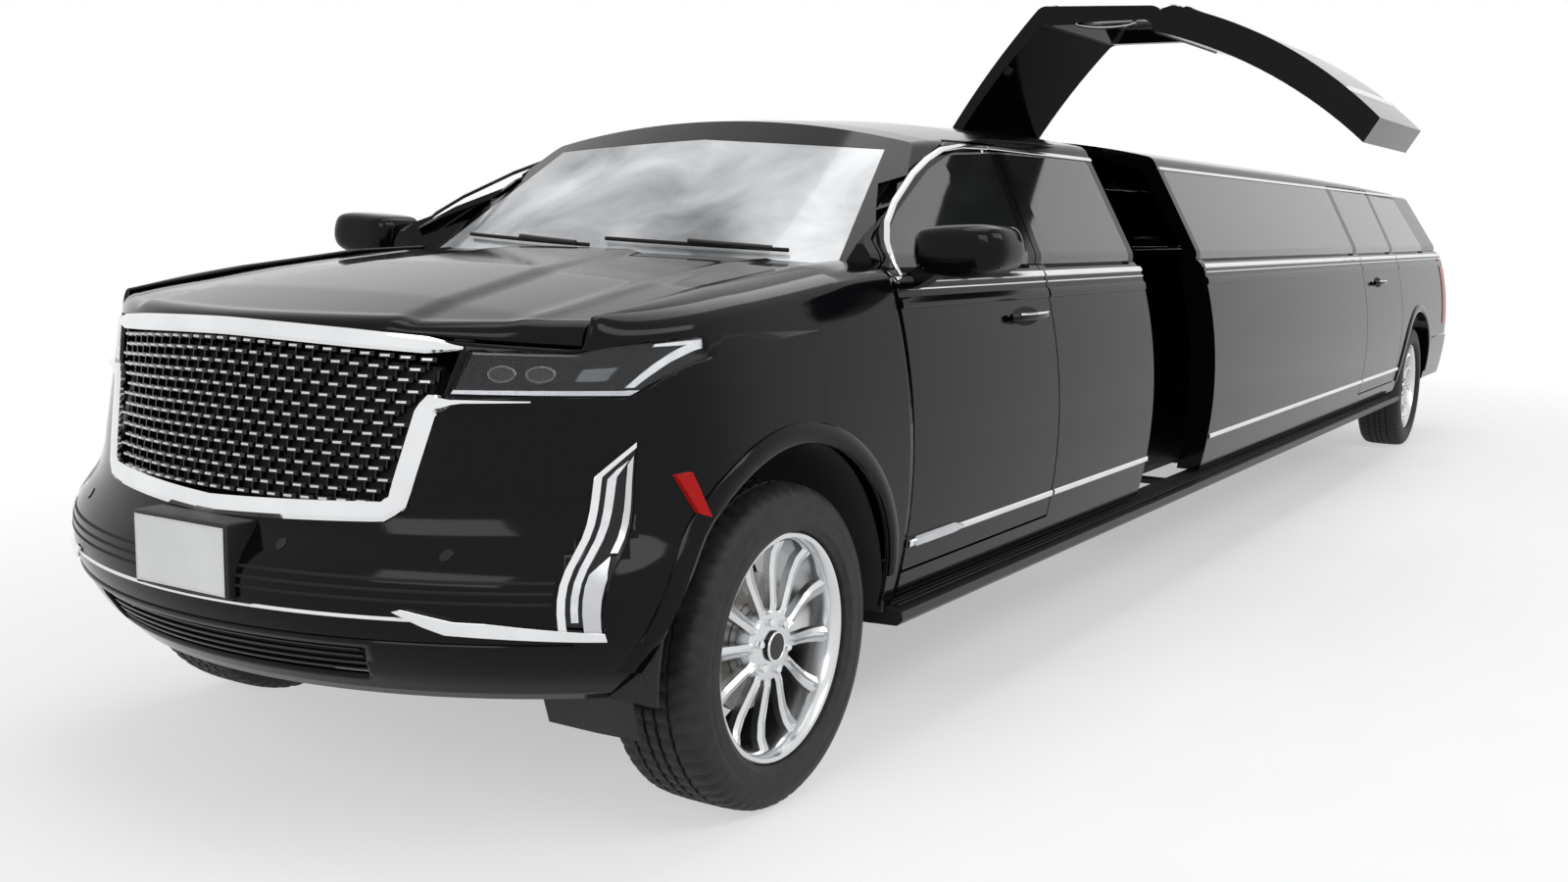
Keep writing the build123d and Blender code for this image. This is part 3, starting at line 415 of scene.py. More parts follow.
def ribbon(name, path, width, proud, place, material, body=CAR, jet=False, ends=None):
    """A strip along a path of pairs that place() turns into points on a surface.

    ends gives the share of the width that is left along the path.
    """
    points = [Vector(point) for point in path]
    verts = []
    for index, point in enumerate(points):
        ahead = direction_at(points, index)
        share = index / (len(points) - 1)
        half = width / 2 * (between(ends, share) if ends else 1.0)
        across = Vector((-ahead.y, ahead.x)) * half
        for offset, out in RIBBON_SECTION:
            at = point + across * offset
            verts.append(place(at.x, at.y, out * proud if out > 0 else out))
    faces = ring_faces(len(points), len(RIBBON_SECTION))
    return make_piece(name, verts, faces, material, body, jet)


def dense(path, step=0.03):
    """The same broken line with points no further apart than a step."""
    points = [Vector(path[0])]
    for start, end in zip(path, path[1:]):
        start, end = Vector(start), Vector(end)
        count = max(1, math.ceil((end - start).length / step))
        points += [start.lerp(end, i / count) for i in range(1, count + 1)]
    return points


def surface_panel(name, outline, top, bottom, place, material, body=CAR, step=0.03, edge=0.0015):
    """A plate that follows a surface, cut to an outline of pairs, from bottom to top out of it."""
    build = bmesh.new()
    build.faces.new([build.verts.new((a, b, 0)) for a, b in outline])
    for axis in (0, 1):
        low = min(point[axis] for point in outline)
        high = max(point[axis] for point in outline)
        count = int((high - low) / step)
        for i in range(1, count + 1):
            at, normal = [0, 0, 0], [0, 0, 0]
            at[axis] = low + (high - low) * i / (count + 1)
            normal[axis] = 1
            geometry = build.verts[:] + build.edges[:] + build.faces[:]
            bmesh.ops.bisect_plane(build, geom=geometry, plane_co=at, plane_no=normal)
    build.verts.index_update()
    flat = [vert.co.copy() for vert in build.verts]
    inner = [[vert.index for vert in face.verts] for face in build.faces]
    border = [
        [vert.index for vert in rim.verts] for rim in build.edges if len(rim.link_faces) == 1
    ]
    build.free()
    count = len(flat)
    verts = [place(co.x, co.y, top) for co in flat] + [place(co.x, co.y, bottom) for co in flat]
    faces = inner + [[i + count for i in reversed(face)] for face in inner]
    faces += [[a, b, b + count, a + count] for a, b in border]
    piece = make_piece(name, verts, faces, material, body)
    return bevelled(piece, edge) if edge else piece


def loft_rings(name, rings, material, body=CAR, jet=False, angle=32):
    """A skin through rings of points, with flat ends."""
    verts = [point for ring in rings for point in ring]
    faces = ring_faces(len(rings), len(rings[0]))
    return make_piece(name, verts, faces, material, body, jet, angle)


BOX_FACES = ((0, 1, 2, 3), (4, 5, 6, 7), (0, 1, 5, 4), (1, 2, 6, 5), (2, 3, 7, 6), (3, 0, 4, 7))


def block_piece(name, low, high, material, edge=0.004):
    """A bevelled bar between two corners."""
    (x0, y0, z0), (x1, y1, z1) = low, high
    verts = [
        (x0, y0, z0), (x1, y0, z0), (x1, y1, z0), (x0, y1, z0),
        (x0, y0, z1), (x1, y0, z1), (x1, y1, z1), (x0, y1, z1),
    ]
    return bevelled(make_piece(name, verts, BOX_FACES, material), edge, 3)


def tube_piece(name, path, radius, material, body=CAR, sides=12, jet=False):
    """A round bar along a path of points."""
    points = [Vector(point) for point in path]
    rings = []
    for index, point in enumerate(points):
        ahead = direction_at(points, index)
        first = ahead.cross(Vector((0, 0, 1)))
        if first.length < 0.1:
            first = ahead.cross(Vector((0, 1, 0)))
        first.normalize()
        second = ahead.cross(first)
        round_points = [circle_point(radius, 2 * math.pi * k / sides) for k in range(sides)]
        rings.append([point + first * a + second * b for a, b in round_points])
    return loft_rings(name, rings, material, body, jet, angle=50)


def inside(outline, a, b):
    """Whether a pair lies within a closed outline of pairs."""
    result = False
    for (a0, b0), (a1, b1) in zip(outline, outline[1:] + outline[:1]):
        if (b0 > b) != (b1 > b) and a < a0 + (a1 - a0) * (b - b0) / (b1 - b0):
            result = not result
    return result


def trim(build, outline, axis, applies):
    """Cuts an outline out of a surface, seen along an axis, where applies(point) is true."""
    first, second = (1, 2) if axis == 0 else (0, 2)
    margin = 0.03
    for start, end in zip(outline, outline[1:] + outline[:1]):
        low = [min(start[i], end[i]) - margin for i in (0, 1)]
        high = [max(start[i], end[i]) + margin for i in (0, 1)]
        faces = []
        for face in build.faces:
            at = face.calc_center_median()
            if (low[0] < at[first] < high[0] and low[1] < at[second] < high[1]
                    and applies(at)):
                faces.append(face)
        edges = {edge for face in faces for edge in face.edges}
        verts = {vert for face in faces for vert in face.verts}
        point, normal = [0, 0, 0], [0, 0, 0]
        point[first], point[second] = start
        normal[first], normal[second] = end[1] - start[1], start[0] - end[0]
        bmesh.ops.bisect_plane(
            build, geom=[*verts, *edges, *faces], plane_co=point, plane_no=normal,
        )
    gone = []
    for face in build.faces:
        at = face.calc_center_median()
        if applies(at) and inside(outline, at[first], at[second]):
            gone.append(face)
    bmesh.ops.delete(build, geom=gone, context="FACES")


def skin_faces(columns, rows):
    """Faces of a closed skin whose outer grid of points is followed by its inner one."""
    total = columns * rows
    faces = []
    for c in range(columns - 1):
        for r in range(rows - 1):
            a, b = c * rows + r, (c + 1) * rows + r
            faces.append((a, b, b + 1, a + 1))
            faces.append((a + total, a + total + 1, b + total + 1, b + total))
        for r in (0, rows - 1):
            a, b = c * rows + r, (c + 1) * rows + r
            faces.append((a, b, b + total, a + total))
    for c in (0, columns - 1):
        for r in range(rows - 1):
            a = c * rows + r
            faces.append((a, a + 1, a + 1 + total, a + total))
    return faces


# The nose's surface: a bowed front and the body sides, blended round the corners

NOSE_AXIS_X = -0.393
NOSE_PROFILE = (
    (0.300, 0.800), (0.385, 0.850), (0.460, 0.920), (0.550, 0.968), (0.625, 0.983),
    (0.690, 0.972), (0.785, 0.912), (0.900, 0.890), (1.190, 0.847), (1.260, 0.836),
)
SHOULDER = ((-0.720, 1.300), (-0.300, 1.267), (0.120, 1.226), (0.560, 1.174), (1.000, 1.112))
HOOD_EDGE = ((-0.720, 1.361), (-0.300, 1.346), (0.120, 1.302), (0.560, 1.240), (1.000, 1.152))
HOOD_CROWN = ((-0.720, 1.385), (-0.300, 1.370), (0.120, 1.335), (0.560, 1.278), (1.000, 1.200))
HOOD_LIP = ((0.0, 1.216), (0.400, 1.206), (0.796, 1.182))
HOOD_HALF = 0.796
SHUT_GAP = 0.008
CORNER = 24
HOOD_CORNER = 200
TURN = math.radians(75)
EDGE_TURN = math.radians(50)
HOOD_FRONT_HEIGHT = 1.2
FENDER_REAR = -0.587
SKIN_FOOT = 0.392
SKIN_THICKNESS = 0.012
HOOD_THICKNESS = 0.016
HOOD_REAR_RADIUS = 1.975
BISECTIONS = 16


def soft_min(first, second, power=CORNER):
    """The smaller of two lengths, blended where they are near each other."""
    scale = min(first, second)
    return scale * ((scale / first) ** power + (scale / second) ** power) ** (-1 / power)


def side_half(x, height):
    """Half width of the body's side, which stays at its width above the shoulder."""
    shoulder = between(SHOULDER, x)
    return arc_half_width(min(height, shoulder), SILL, WAIST, (BELT[0], shoulder))


def nose_reach(angle, height):
    """Distance from the nose's axis to the surface at a plan angle."""
    front = smooth_between(NOSE_PROFILE, height) - NOSE_AXIS_X
    if math.sin(angle) < 0.05:
        return front
    reach = front
    for _ in range(3):
        half = side_half(NOSE_AXIS_X + reach * math.cos(angle), height)
        reach = soft_min(front, half / math.sin(angle))
    return reach


def solve_angle(low, high, height, goes_on):
    """The plan angle at which a test of angle and reach turns false, at a height."""
    for _ in range(BISECTIONS):
        middle = (low + high) / 2
        if goes_on(middle, nose_reach(middle, height)):
            low = middle
        else:
            high = middle
    return low


def nose_x(half, height):
    """The surface's X at a half width and a height."""
    angle = solve_angle(0.0, TURN, height, lambda a, reach: reach * math.sin(a) < half)
    return NOSE_AXIS_X + nose_reach(angle, height) * math.cos(angle)


def on_nose(side=1):
    """Places (y, road height, out) on the nose; side -1 gives the mirror image."""
    def place(y, height, out):
        x = nose_x(abs(y), height)
        step = 0.004
        slope_y = (nose_x(abs(y) + step, height) - x) / step * (1 if y >= 0 else -1)
        slope_z = (nose_x(abs(y), height + step) - x) / step
        normal = Vector((1.0, -slope_y, -slope_z)).normalized()
        point = Vector((x, y, road(height))) + normal * out
        return Vector((point.x, side * point.y, point.z))
    return place


def on_fender(side):
    """Places (x, road height, out) on the side of the front fender and its corner."""
    def place(x, height, out):
        angle = solve_angle(
            math.radians(20), math.radians(105), height,
            lambda a, reach: NOSE_AXIS_X + reach * math.cos(a) > x,
        )
        half = nose_reach(angle, height) * math.sin(angle)
        return Vector((x, side * (half + out), road(height)))
    return place


GRILLE_CUT = (
    (-0.585, 1.168), (-0.300, 1.215), (0, 1.235), (0.300, 1.215), (0.585, 1.168), (0.555, 1.050),
    (0.507, 0.815), (0, 0.783), (-0.507, 0.815), (-0.555, 1.050),
)
HEADLAMP = (
    (0.570, 1.074), (0.604, 1.168), (0.790, 1.166), (0.850, 1.180), (0.955, 1.200),
    (0.985, 1.192), (0.935, 1.120), (0.885, 1.074),
)
BUMPER_LAMP = ((0.842, 0.560), (0.912, 0.556), (0.922, 0.700), (0.905, 0.975), (0.845, 0.900))
LOWER_GRILLE = ((-0.430, 0.445), (0.430, 0.445), (0.460, 0.525), (-0.460, 0.525))


def skin_column(angle, back):
    """A column of the nose's skin from foot to hood edge, back being its share of the rear run."""
    def reach_at(height):
        if back == 0:
            reach = nose_reach(angle, height)
            return NOSE_AXIS_X + reach * math.cos(angle), reach * math.sin(angle)
        start = NOSE_AXIS_X + nose_reach(TURN, height) * math.cos(TURN)
        x = start + (FENDER_REAR - start) * back
        return x, side_half(x, height)

    shoulder = between(SHOULDER, reach_at(1.15)[0])
    x_top, y_top = reach_at(shoulder)
    if back == 0:
        front = smooth_between(NOSE_PROFILE, HOOD_FRONT_HEIGHT) - 0.006 - NOSE_AXIS_X
        side_reach = (HOOD_HALF + SHUT_GAP) / max(math.sin(angle), 1e-3)
        reach = soft_min(front, side_reach, HOOD_CORNER)
        x_edge, y_edge = NOSE_AXIS_X + reach * math.cos(angle), reach * math.sin(angle)
        share = max(0.0, (angle - EDGE_TURN) / (TURN - EDGE_TURN))
        x_edge += (x_top - x_edge) * share
    else:
        x_edge, y_edge = x_top, HOOD_HALF + SHUT_GAP
    lip = between(HOOD_LIP, y_edge) - SHUT_GAP
    blend = min(max((y_edge - 0.797) / 0.006, 0.0), 1.0)
    z_edge = lip + (between(HOOD_EDGE, x_edge) - lip) * blend**2 * (3 - 2 * blend)
    column = []
    rows, turns = 40, 8
    for row in range(rows + 1):
        height = SKIN_FOOT + (shoulder - SKIN_FOOT) * row / rows
        column.append(Vector((*reach_at(height), height)))
    for row in range(1, turns + 1):
        rise = math.sin(math.pi / 2 * row / turns)
        share = 1 - math.cos(math.pi / 2 * row / turns)
        column.append(Vector((
            x_top + (x_edge - x_top) * share, y_top + (y_edge - y_top) * share,
            shoulder + (z_edge - shoulder) * rise,
        )))
    return column


def make_nose_skin():
    """Bumper and fenders as one smooth skin with its openings cut."""
    turned_columns, rear_columns = 84, 26
    half = [skin_column(TURN * i / turned_columns, 0) for i in range(turned_columns + 1)]
    half += [skin_column(TURN, i / rear_columns) for i in range(1, rear_columns + 1)]
    columns = [
        [Vector((point.x, -point.y, point.z)) for point in column] for column in reversed(half[1:])
    ] + half
    build = bmesh.new()
    grid = [
        [build.verts.new((point.x, point.y, road(point.z))) for point in column]
        for column in columns
    ]
    for first, second in zip(grid, grid[1:]):
        for r in range(len(first) - 1):
            build.faces.new((first[r], second[r], second[r + 1], first[r + 1]))
    trim(build, [(y, road(z)) for y, z in GRILLE_CUT], 0, lambda at: at.x > 0.5)
    trim(build, [(y, road(z)) for y, z in LOWER_GRILLE], 0, lambda at: at.x > 0.5)
    circle = [(x, road(z)) for x, z in wheel_arc(ARCH_RADIUS, range(0, 360, 5))]
    for side, _ in SIDES:
        for outline, x_from in ((HEADLAMP, 0.30), (BUMPER_LAMP, 0.40)):
            trim(build, [(side * y, road(z)) for y, z in outline], 0,
                 lambda at: at.x > x_from and at.y * side > 0)
        trim(build, circle, 1, lambda at: at.y * side > 0.55)
    mesh = bpy.data.meshes.new("nose_skin")
    build.to_mesh(mesh)
    build.free()
    mesh.materials.append(PAINT)
    for polygon in mesh.polygons:
        polygon.use_smooth = True
    skin = linked("nose_skin", mesh)
    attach(skin, CAR)
    modifier = skin.modifiers.new("thickness", "SOLIDIFY")
    modifier.thickness = SKIN_THICKNESS
    modifier.offset = -1.0
    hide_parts("front_fenders", "front_bumper")


def hood_height(x, y):
    """Road height of the hood's top: crowned, with a raised centre and two creases a side."""
    edge, crown = between(HOOD_EDGE, x), between(HOOD_CROWN, x)
    height = edge + (crown - edge) * (1 - (abs(y) / HOOD_HALF) ** 2.2)
    share = (x + 0.45) / 1.25
    step = min(max((0.20 + 0.27 * share + 0.025 - abs(y)) / 0.05, 0.0), 1.0)
    ridge = max(0.0, 1 - abs(abs(y) - 0.60 - 0.10 * share) / 0.05)
    return height - 0.012 + 0.011 * step**2 * (3 - 2 * step) + 0.005 * ridge**2


def make_hood():
    """Hood with a turned-down edge."""
    columns, rows = 81, 61
    front_reach = smooth_between(NOSE_PROFILE, HOOD_FRONT_HEIGHT) - 0.003 - NOSE_AXIS_X
    turn_in, flat_share = 0.05, 0.8
    top, under = [], []
    for c in range(columns):
        y = -HOOD_HALF + 2 * HOOD_HALF * c / (columns - 1)
        x_rear = SCREEN_BASE_X - SCREEN_RADIUS + math.sqrt(HOOD_REAR_RADIUS**2 - y * y)
        x_front = NOSE_AXIS_X + math.sqrt(front_reach**2 - y * y)
        lip = between(HOOD_LIP, abs(y))
        for r in range(rows):
            share = r / (rows - 1)
            if share <= flat_share:
                x = x_rear + (x_front - turn_in - x_rear) * share / flat_share
                z = hood_height(x, y)
            else:
                turn = math.pi / 2 * (share - flat_share) / 0.2
                x = x_front - turn_in + turn_in * math.sin(turn)
                z = lip + (hood_height(x_front - turn_in, y) - lip) * math.cos(turn)
            top.append((x, y, road(z)))
            under.append((min(x, x_front - HOOD_THICKNESS), y * 0.985, road(z - HOOD_THICKNESS)))
    hood = make_piece("hood_skin", top + under, skin_faces(columns, rows), PAINT, "hood")
    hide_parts("hood")


make_nose_skin()
make_hood()

# Wheel-arch liners, flares and side markers of the front fenders
for side, side_name in SIDES:
    # The liner ends 2 degrees below the axle in front and behind
    steps = [-2 + 184 * k / 48 for k in range(49)]
    section = [
        (side * y, wheel_arc(radius, steps))
        for radius, y in ((0.516, 0.49), (0.516, 0.985), (0.523, 0.985), (0.523, 0.49))
    ]
    rings = [[(arc[k][0], y, road(arc[k][1])) for y, arc in section] for k in range(len(steps))]
    loft_rings(f"arch_liner_{side_name}", rings, COATING)
    wall = wheel_arc(0.520, [180 * k / 32 for k in range(33)])
    loft_rings(
        f"arch_wall_{side_name}",
        [[(x, side * y, road(z)) for x, z in wall] for y in (0.476, 0.484)], COATING,
    )
    fender = on_fender(side)
    path = wheel_arc(FLARE_RADIUS, range(6, 171, 4))
    ribbon(f"arch_flare_{side_name}", path, FLARE_WIDTH, 0.011, fender, PAINT)
    outline = ((0.365, 0.800), (0.398, 0.812), (0.440, 0.900), (0.405, 0.905))
    surface_panel(f"side_marker_{side_name}", outline, 0.014, -0.002, fender, RED_LENS)


# Grille: bright frame, black web and staggered bright dashes

GRILLE_HALF = ((0.80, 0.0), (0.835, 0.47), (1.05, 0.512), (1.16, 0.575))


def add_cell(verts, faces, place, y, height, half_y, half_z, near, far, taper):
    """Adds one small bar of the grille, smaller in front by the taper."""
    base = len(verts)
    for out, shrink in ((far, 1.0), (near, taper)):
        for sign_y, sign_z in ((-1, -1), (1, -1), (1, 1), (-1, 1)):
            verts.append(place(y + sign_y * half_y * shrink, height + sign_z * half_z, out))
    faces.extend(tuple(base + i for i in quad) for quad in BOX_FACES)


def make_grille():
    """Surround, top bar, dashes on their web, and the bars of the lower grille."""
    nose = on_nose()
    leg = [(0.725, 1.060), (0.600, 1.058), (0.540, 1.052), (0.528, 1.030), (0.490, 0.838),
           (0.462, 0.816), (0.0, 0.796)]
    whole = dense(leg + [(-y, z) for y, z in reversed(leg[:-1])], 0.025)
    widths = ((0.0, 0.12), (0.085, 0.30), (0.105, 0.95), (0.13, 1.0), (0.87, 1.0), (0.895, 0.95),
              (0.915, 0.30), (1.0, 0.12))
    surround = ribbon("grille_surround", whole, 0.044, 0.014, nose, CHROME, ends=widths)
    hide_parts("grille_frame")
    bar = [(y * 0.592, 1.199 - 0.026 * abs(y) ** 1.6) for y in [i / 24 - 1 for i in range(49)]]
    ribbon(
        "grille_top_bar", bar, 0.040, 0.012, nose, CHROME,
        ends=((0.0, 0.25), (0.06, 0.9), (0.2, 1.0), (0.8, 1.0), (0.94, 0.9), (1.0, 0.25)),
    )
    rows, columns = 14, 23
    bottom, top = 0.835, 1.158
    pitch_z = (top - bottom) / (rows - 1)
    pitch_y = 2 * 0.52 / columns
    dash_verts, dash_faces, web_verts, web_faces = [], [], [], []
    for row in range(rows):
        height = bottom + pitch_z * row
        half = between(GRILLE_HALF, height) - 0.018
        drop = 0.026 * row / (rows - 1)
        for column in range(-columns // 2, columns // 2 + 2):
            y = (column + (0.5 if row % 2 else 0.0)) * pitch_y
            if abs(y) > half:
                continue
            here = height + drop * (0.5 - abs(y / 0.55) ** 1.6)
            add_cell(dash_verts, dash_faces, nose, y, here, 0.0125, 0.0025, 0.000, -0.010, 0.86)
            add_cell(web_verts, web_faces, nose, y, here, 0.0175, 0.0050, -0.008, -0.026, 1.0)
            if row < rows - 1:
                add_cell(web_verts, web_faces, nose, y + pitch_y / 2, here + pitch_z / 2, 0.002,
                         pitch_z / 2, -0.012, -0.026, 1.0)
    make_piece("grille_dashes", dash_verts, dash_faces, SATIN)
    make_piece("grille_web", web_verts, web_faces, GLOSS)
    for index in range(4):
        height = 0.456 + 0.019 * index
        ribbon(f"lower_grille_bar_{index}", dense([(-0.44, height), (0.44, height)], 0.05), 0.006,
               0.004, lambda y, z, out: nose(y, z, out - 0.010), GLOSS)


make_grille()


# Lamps of the nose

def oval(y, height, half_y, half_z, count=20):
    """An outline of pairs about a middle point."""
    round_points = [circle_point(1.0, 2 * math.pi * k / count) for k in range(count)]
    return [(y + half_y * a, height + half_z * b) for a, b in round_points]


# Name, outline, outer and inner distance from the nose, material and bevel
LAMP_PARTS = (
    ("headlamp_lens", HEADLAMP, 0.001, -0.003, LENS, 0),
    ("headlamp_strip", ((0.572, 1.074), (0.885, 1.074), (0.900, 1.086), (0.576, 1.084)),
     -0.005, -0.016, SATIN, 0.001),
    ("headlamp_projector_inner", oval(0.665, 1.120, 0.027, 0.019),
     -0.007, -0.016, SMOKED, 0.001),
    ("headlamp_projector_outer", oval(0.735, 1.120, 0.027, 0.019),
     -0.007, -0.016, SMOKED, 0.001),
    ("headlamp_eye_inner", oval(0.665, 1.120, 0.023, 0.015),
     -0.0045, -0.007, DARK_GLASS_PAINTED_REFLECTION, 0.001),
    ("headlamp_eye_outer", oval(0.735, 1.120, 0.023, 0.015),
     -0.0045, -0.007, DARK_GLASS_PAINTED_REFLECTION, 0.001),
    ("headlamp_reflector", ((0.795, 1.104), (0.845, 1.106), (0.862, 1.136), (0.806, 1.132)),
     -0.006, -0.016, SMOKED, 0.001),
    ("headlamp_blade", (
        (0.876, 1.092), (0.890, 1.092), (0.958, 1.184), (0.952, 1.194), (0.906, 1.186),
        (0.905, 1.180), (0.938, 1.182),
    ), -0.005, -0.016, GUIDE, 0.001),
    ("headlamp_brow", ((0.606, 1.160), (0.790, 1.158), (0.800, 1.163), (0.607, 1.166)),
     -0.005, -0.016, SMOKED, 0.001),
    ("bumper_lamp_base", BUMPER_LAMP, -0.008, -0.016, GLOSS, 0),
    ("bumper_lamp_rail", (
        (0.843, 0.562), (0.857, 0.562), (0.859, 0.900), (0.905, 0.962), (0.904, 0.974),
        (0.846, 0.900),
    ), 0.006, -0.008, CHROME, 0.001),
    ("bumper_lamp_blade", (
        (0.866, 0.600), (0.878, 0.600), (0.882, 0.900), (0.897, 0.935), (0.880, 0.915),
        (0.868, 0.895),
    ), 0.003, -0.008, GUIDE, 0.001),
    ("bumper_lamp_foot", (
        (0.884, 0.562), (0.910, 0.560), (0.917, 0.690), (0.905, 0.735), (0.886, 0.700),
    ), 0.004, -0.008, SATIN, 0.001),
    ("bumper_lamp_edge", ((0.902, 0.740), (0.914, 0.740), (0.903, 0.945), (0.896, 0.925)),
     0.002, -0.008, SATIN, 0.001),
    ("bumper_winglet", (
        (0.540, 0.618), (0.600, 0.588), (0.640, 0.572), (0.915, 0.556), (0.915, 0.576),
        (0.720, 0.600), (0.660, 0.602), (0.560, 0.624),
    ), 0.010, -0.003, CHROME, 0.002),
)
for side, side_name in SIDES:
    nose = on_nose(side)
    bucket = surface_panel(
        f"headlamp_bucket_{side_name}", HEADLAMP, -0.016, -0.022, nose, GLOSS, edge=0,
    )
    if side == 1:
        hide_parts("lamps")
    for label, outline, top, bottom, material, edge in LAMP_PARTS:
        surface_panel(f"{label}_{side_name}", outline, top, bottom, nose, material, edge=edge)

# Tail lamps, tall at the body's rear corners
TAIL_LAMP_FOOT, TAIL_LAMP_HEIGHT = 0.801, 0.483
for side, side_name in SIDES:
    place = on_body(side)
    for label, inset, out, material in (
        ("base", 0.0, 0.001, GLOSS), ("lens", 0.006, 0.004, RED_LENS),
    ):
        rings = []
        for k in range(17):
            height = TAIL_LAMP_FOOT + inset + (TAIL_LAMP_HEIGHT - 2 * inset) * k / 16
            half = place(0.0, height, out).y * side
            rear = TAIL_X + TAIL_RADIUS - math.sqrt(TAIL_RADIUS**2 - half**2) - out
            rear += max(height - TAIL_BEND_HEIGHT, 0.0) * TAIL_LEAN
            rings.append([
                (rear + ahead, side * (half - inward), road(height)) for ahead, inward in (
                    (0.155 - inset, 0.0), (0.020, 0.0), (0.0, 0.020), (-0.006, 0.080 - inset),
                    (0.012, 0.080 - inset), (0.155 - inset, 0.012),
                )
            ])
        loft_rings(f"tail_lamp_{label}_{side_name}", rings, material)

# Bumper: grooves, lip strip, sensors, plate bracket and rim
nose = on_nose()
for label, height, reach, width, proud, material in (
    ("groove_0", 0.640, 0.835, 0.007, 0.0015, MATT),
    ("groove_1", 0.662, 0.835, 0.007, 0.0015, MATT),
    ("groove_2", 0.684, 0.835, 0.007, 0.0015, MATT),
    ("lip_strip", 0.600, 0.600, 0.009, 0.005, CHROME),
    ("low_crease", 0.540, 0.860, 0.012, 0.005, PAINT),
):
    path = dense([(-reach, height), (reach, height)], 0.04)
    ribbon(f"bumper_{label}", path, width, proud, nose, material)
for index, y in enumerate((-0.62, -0.25, 0.25, 0.62)):
    surface_panel(f"parking_sensor_{index}", oval(y, 0.735, 0.012, 0.012), 0.0025, -0.002, nose,
                  GLOSS, edge=0.001)
block_piece("plate_bracket", (0.900, -0.160, road(0.607)), (0.9938, 0.160, road(0.778)), PLASTIC)
for label, low, high in (
    ("low", (-0.1535, 0.6145), (0.1535, 0.6190)),
    ("top", (-0.1535, 0.7650), (0.1535, 0.7695)),
    ("left", (0.1490, 0.6190), (0.1535, 0.7650)),
    ("right", (-0.1535, 0.6190), (-0.1490, 0.7650)),
):
    block_piece(f"plate_rim_{label}", (0.9940, low[0], road(low[1])),
                (0.9972, high[0], road(high[1])), SATIN, edge=0.001)
for side, side_name in SIDES:
    loft_rings(
        f"air_deflector_{side_name}",
        [
            [(x + lean, side * y, road(z)) for z, lean in (
                (0.405, 0.020), (0.285, -0.020), (0.290, -0.026), (0.405, 0.014),
            )] for x, y in ((0.500, 0.640), (0.500, 0.780), (0.490, 0.900))
        ],
        PLASTIC,
    )


# Bright strips and window surrounds along the body

TOP_STRIP_REAR = -8.75


def side_spans(side_name):
    """Lengths of body side between the shut lines, with the body that each rides on."""
    spans = [
        ("door_front", -0.600, -1.636, f"front_door_{side_name}", False),
        ("door_rear", -6.485, -7.557, f"rear_door_{side_name}", False),
        ("quarter", -7.573, -9.200, CAR, False),
    ]
    if side_name == "left":
        return spans + [
            ("ahead", -1.652, -2.596, CAR, False),
            ("jet", -2.612, -3.388, "jet_door", True),
            ("behind", -3.404, -6.469, CAR, False),
        ]
    return spans + [("long", -1.652, -6.469, CAR, False)]


for side, side_name in SIDES:
    place = on_body(side)
    for label, front, rear, body, jet in side_spans(side_name):
        strips = [("belt", 1.305, 0.018, 0.007, CHROME), ("belt_low", 1.279, 0.006, 0.005, CHROME),
                  ("crease", 1.243, 0.030, 0.007, PAINT)]
        if label != "quarter":
            strips.append(("rocker", 0.575, 0.022, 0.009, CHROME))
        if label != "door_front":
            strips.append(("top", 1.716, 0.012, 0.005, CHROME))
        for strip, height, width, proud, material in strips:
            end = TOP_STRIP_REAR if (strip, label) == ("top", "quarter") else rear
            ribbon(f"{strip}_{label}_{side_name}", [(front, height), (end, height)], width, proud,
                   place, material, body, jet)
    door = f"front_door_{side_name}"
    ribbon(
        f"window_arch_{side_name}",
        dense([(-0.640, 1.318), (-0.632, 1.350), (-0.650, 1.410), (-0.700, 1.462), (-0.800, 1.520),
               (-1.000, 1.607), (-1.140, 1.655), (-1.280, 1.692), (-1.440, 1.710),
               (-1.636, 1.715)], 0.05),
        0.014, 0.006, place, CHROME, door,
    )
    ribbon(f"rocker_end_{side_name}", [(-0.630, 0.577), (-0.880, 0.577), (-0.940, 0.577)], 0.034,
           0.014, place, SATIN, door, ends=((0.0, 1.0), (0.6, 1.0), (1.0, 0.3)))
    for label, front, rear, height, body in (
        ("front", -1.290, -1.560, 1.175, door),
        ("rear", -6.720, -6.980, 1.157, f"rear_door_{side_name}"),
    ):
        surface_panel(f"handle_dish_{label}_{side_name}",
                      oval((front + rear) / 2, height, 0.105, 0.030, 24), 0.002, -0.003, place,
                      MATT, body)
        bar = [place(front + (rear - front) * k / 12, height,
                     0.010 + 0.028 * math.sin(math.pi * k / 12) ** 0.5) for k in range(13)]
        tube_piece(f"handle_bar_{label}_{side_name}", bar, 0.012, PAINT, body)
        bright = [point + Vector((0, side * 0.006, 0.010)) for point in bar[1:-1]]
        tube_piece(f"handle_trim_{label}_{side_name}", bright, 0.0045, CHROME, body, 8)

# Mirrors: a rounded housing round the CAD housing
MIRROR_OUTLINE = (
    (0.995, 1.342), (1.040, 1.322), (1.120, 1.314), (1.190, 1.318), (1.245, 1.336),
    (1.266, 1.362), (1.270, 1.392), (1.260, 1.430), (1.246, 1.452), (1.215, 1.462),
    (1.120, 1.459), (1.030, 1.452), (0.998, 1.442), (0.992, 1.395),
)
MIRROR_STATIONS = (
    (-0.756, 0.90), (-0.755, 0.97), (-0.745, 1.0), (-0.700, 1.02), (-0.650, 1.02),
    (-0.620, 0.99), (-0.600, 0.90), (-0.588, 0.74), (-0.582, 0.50),
)


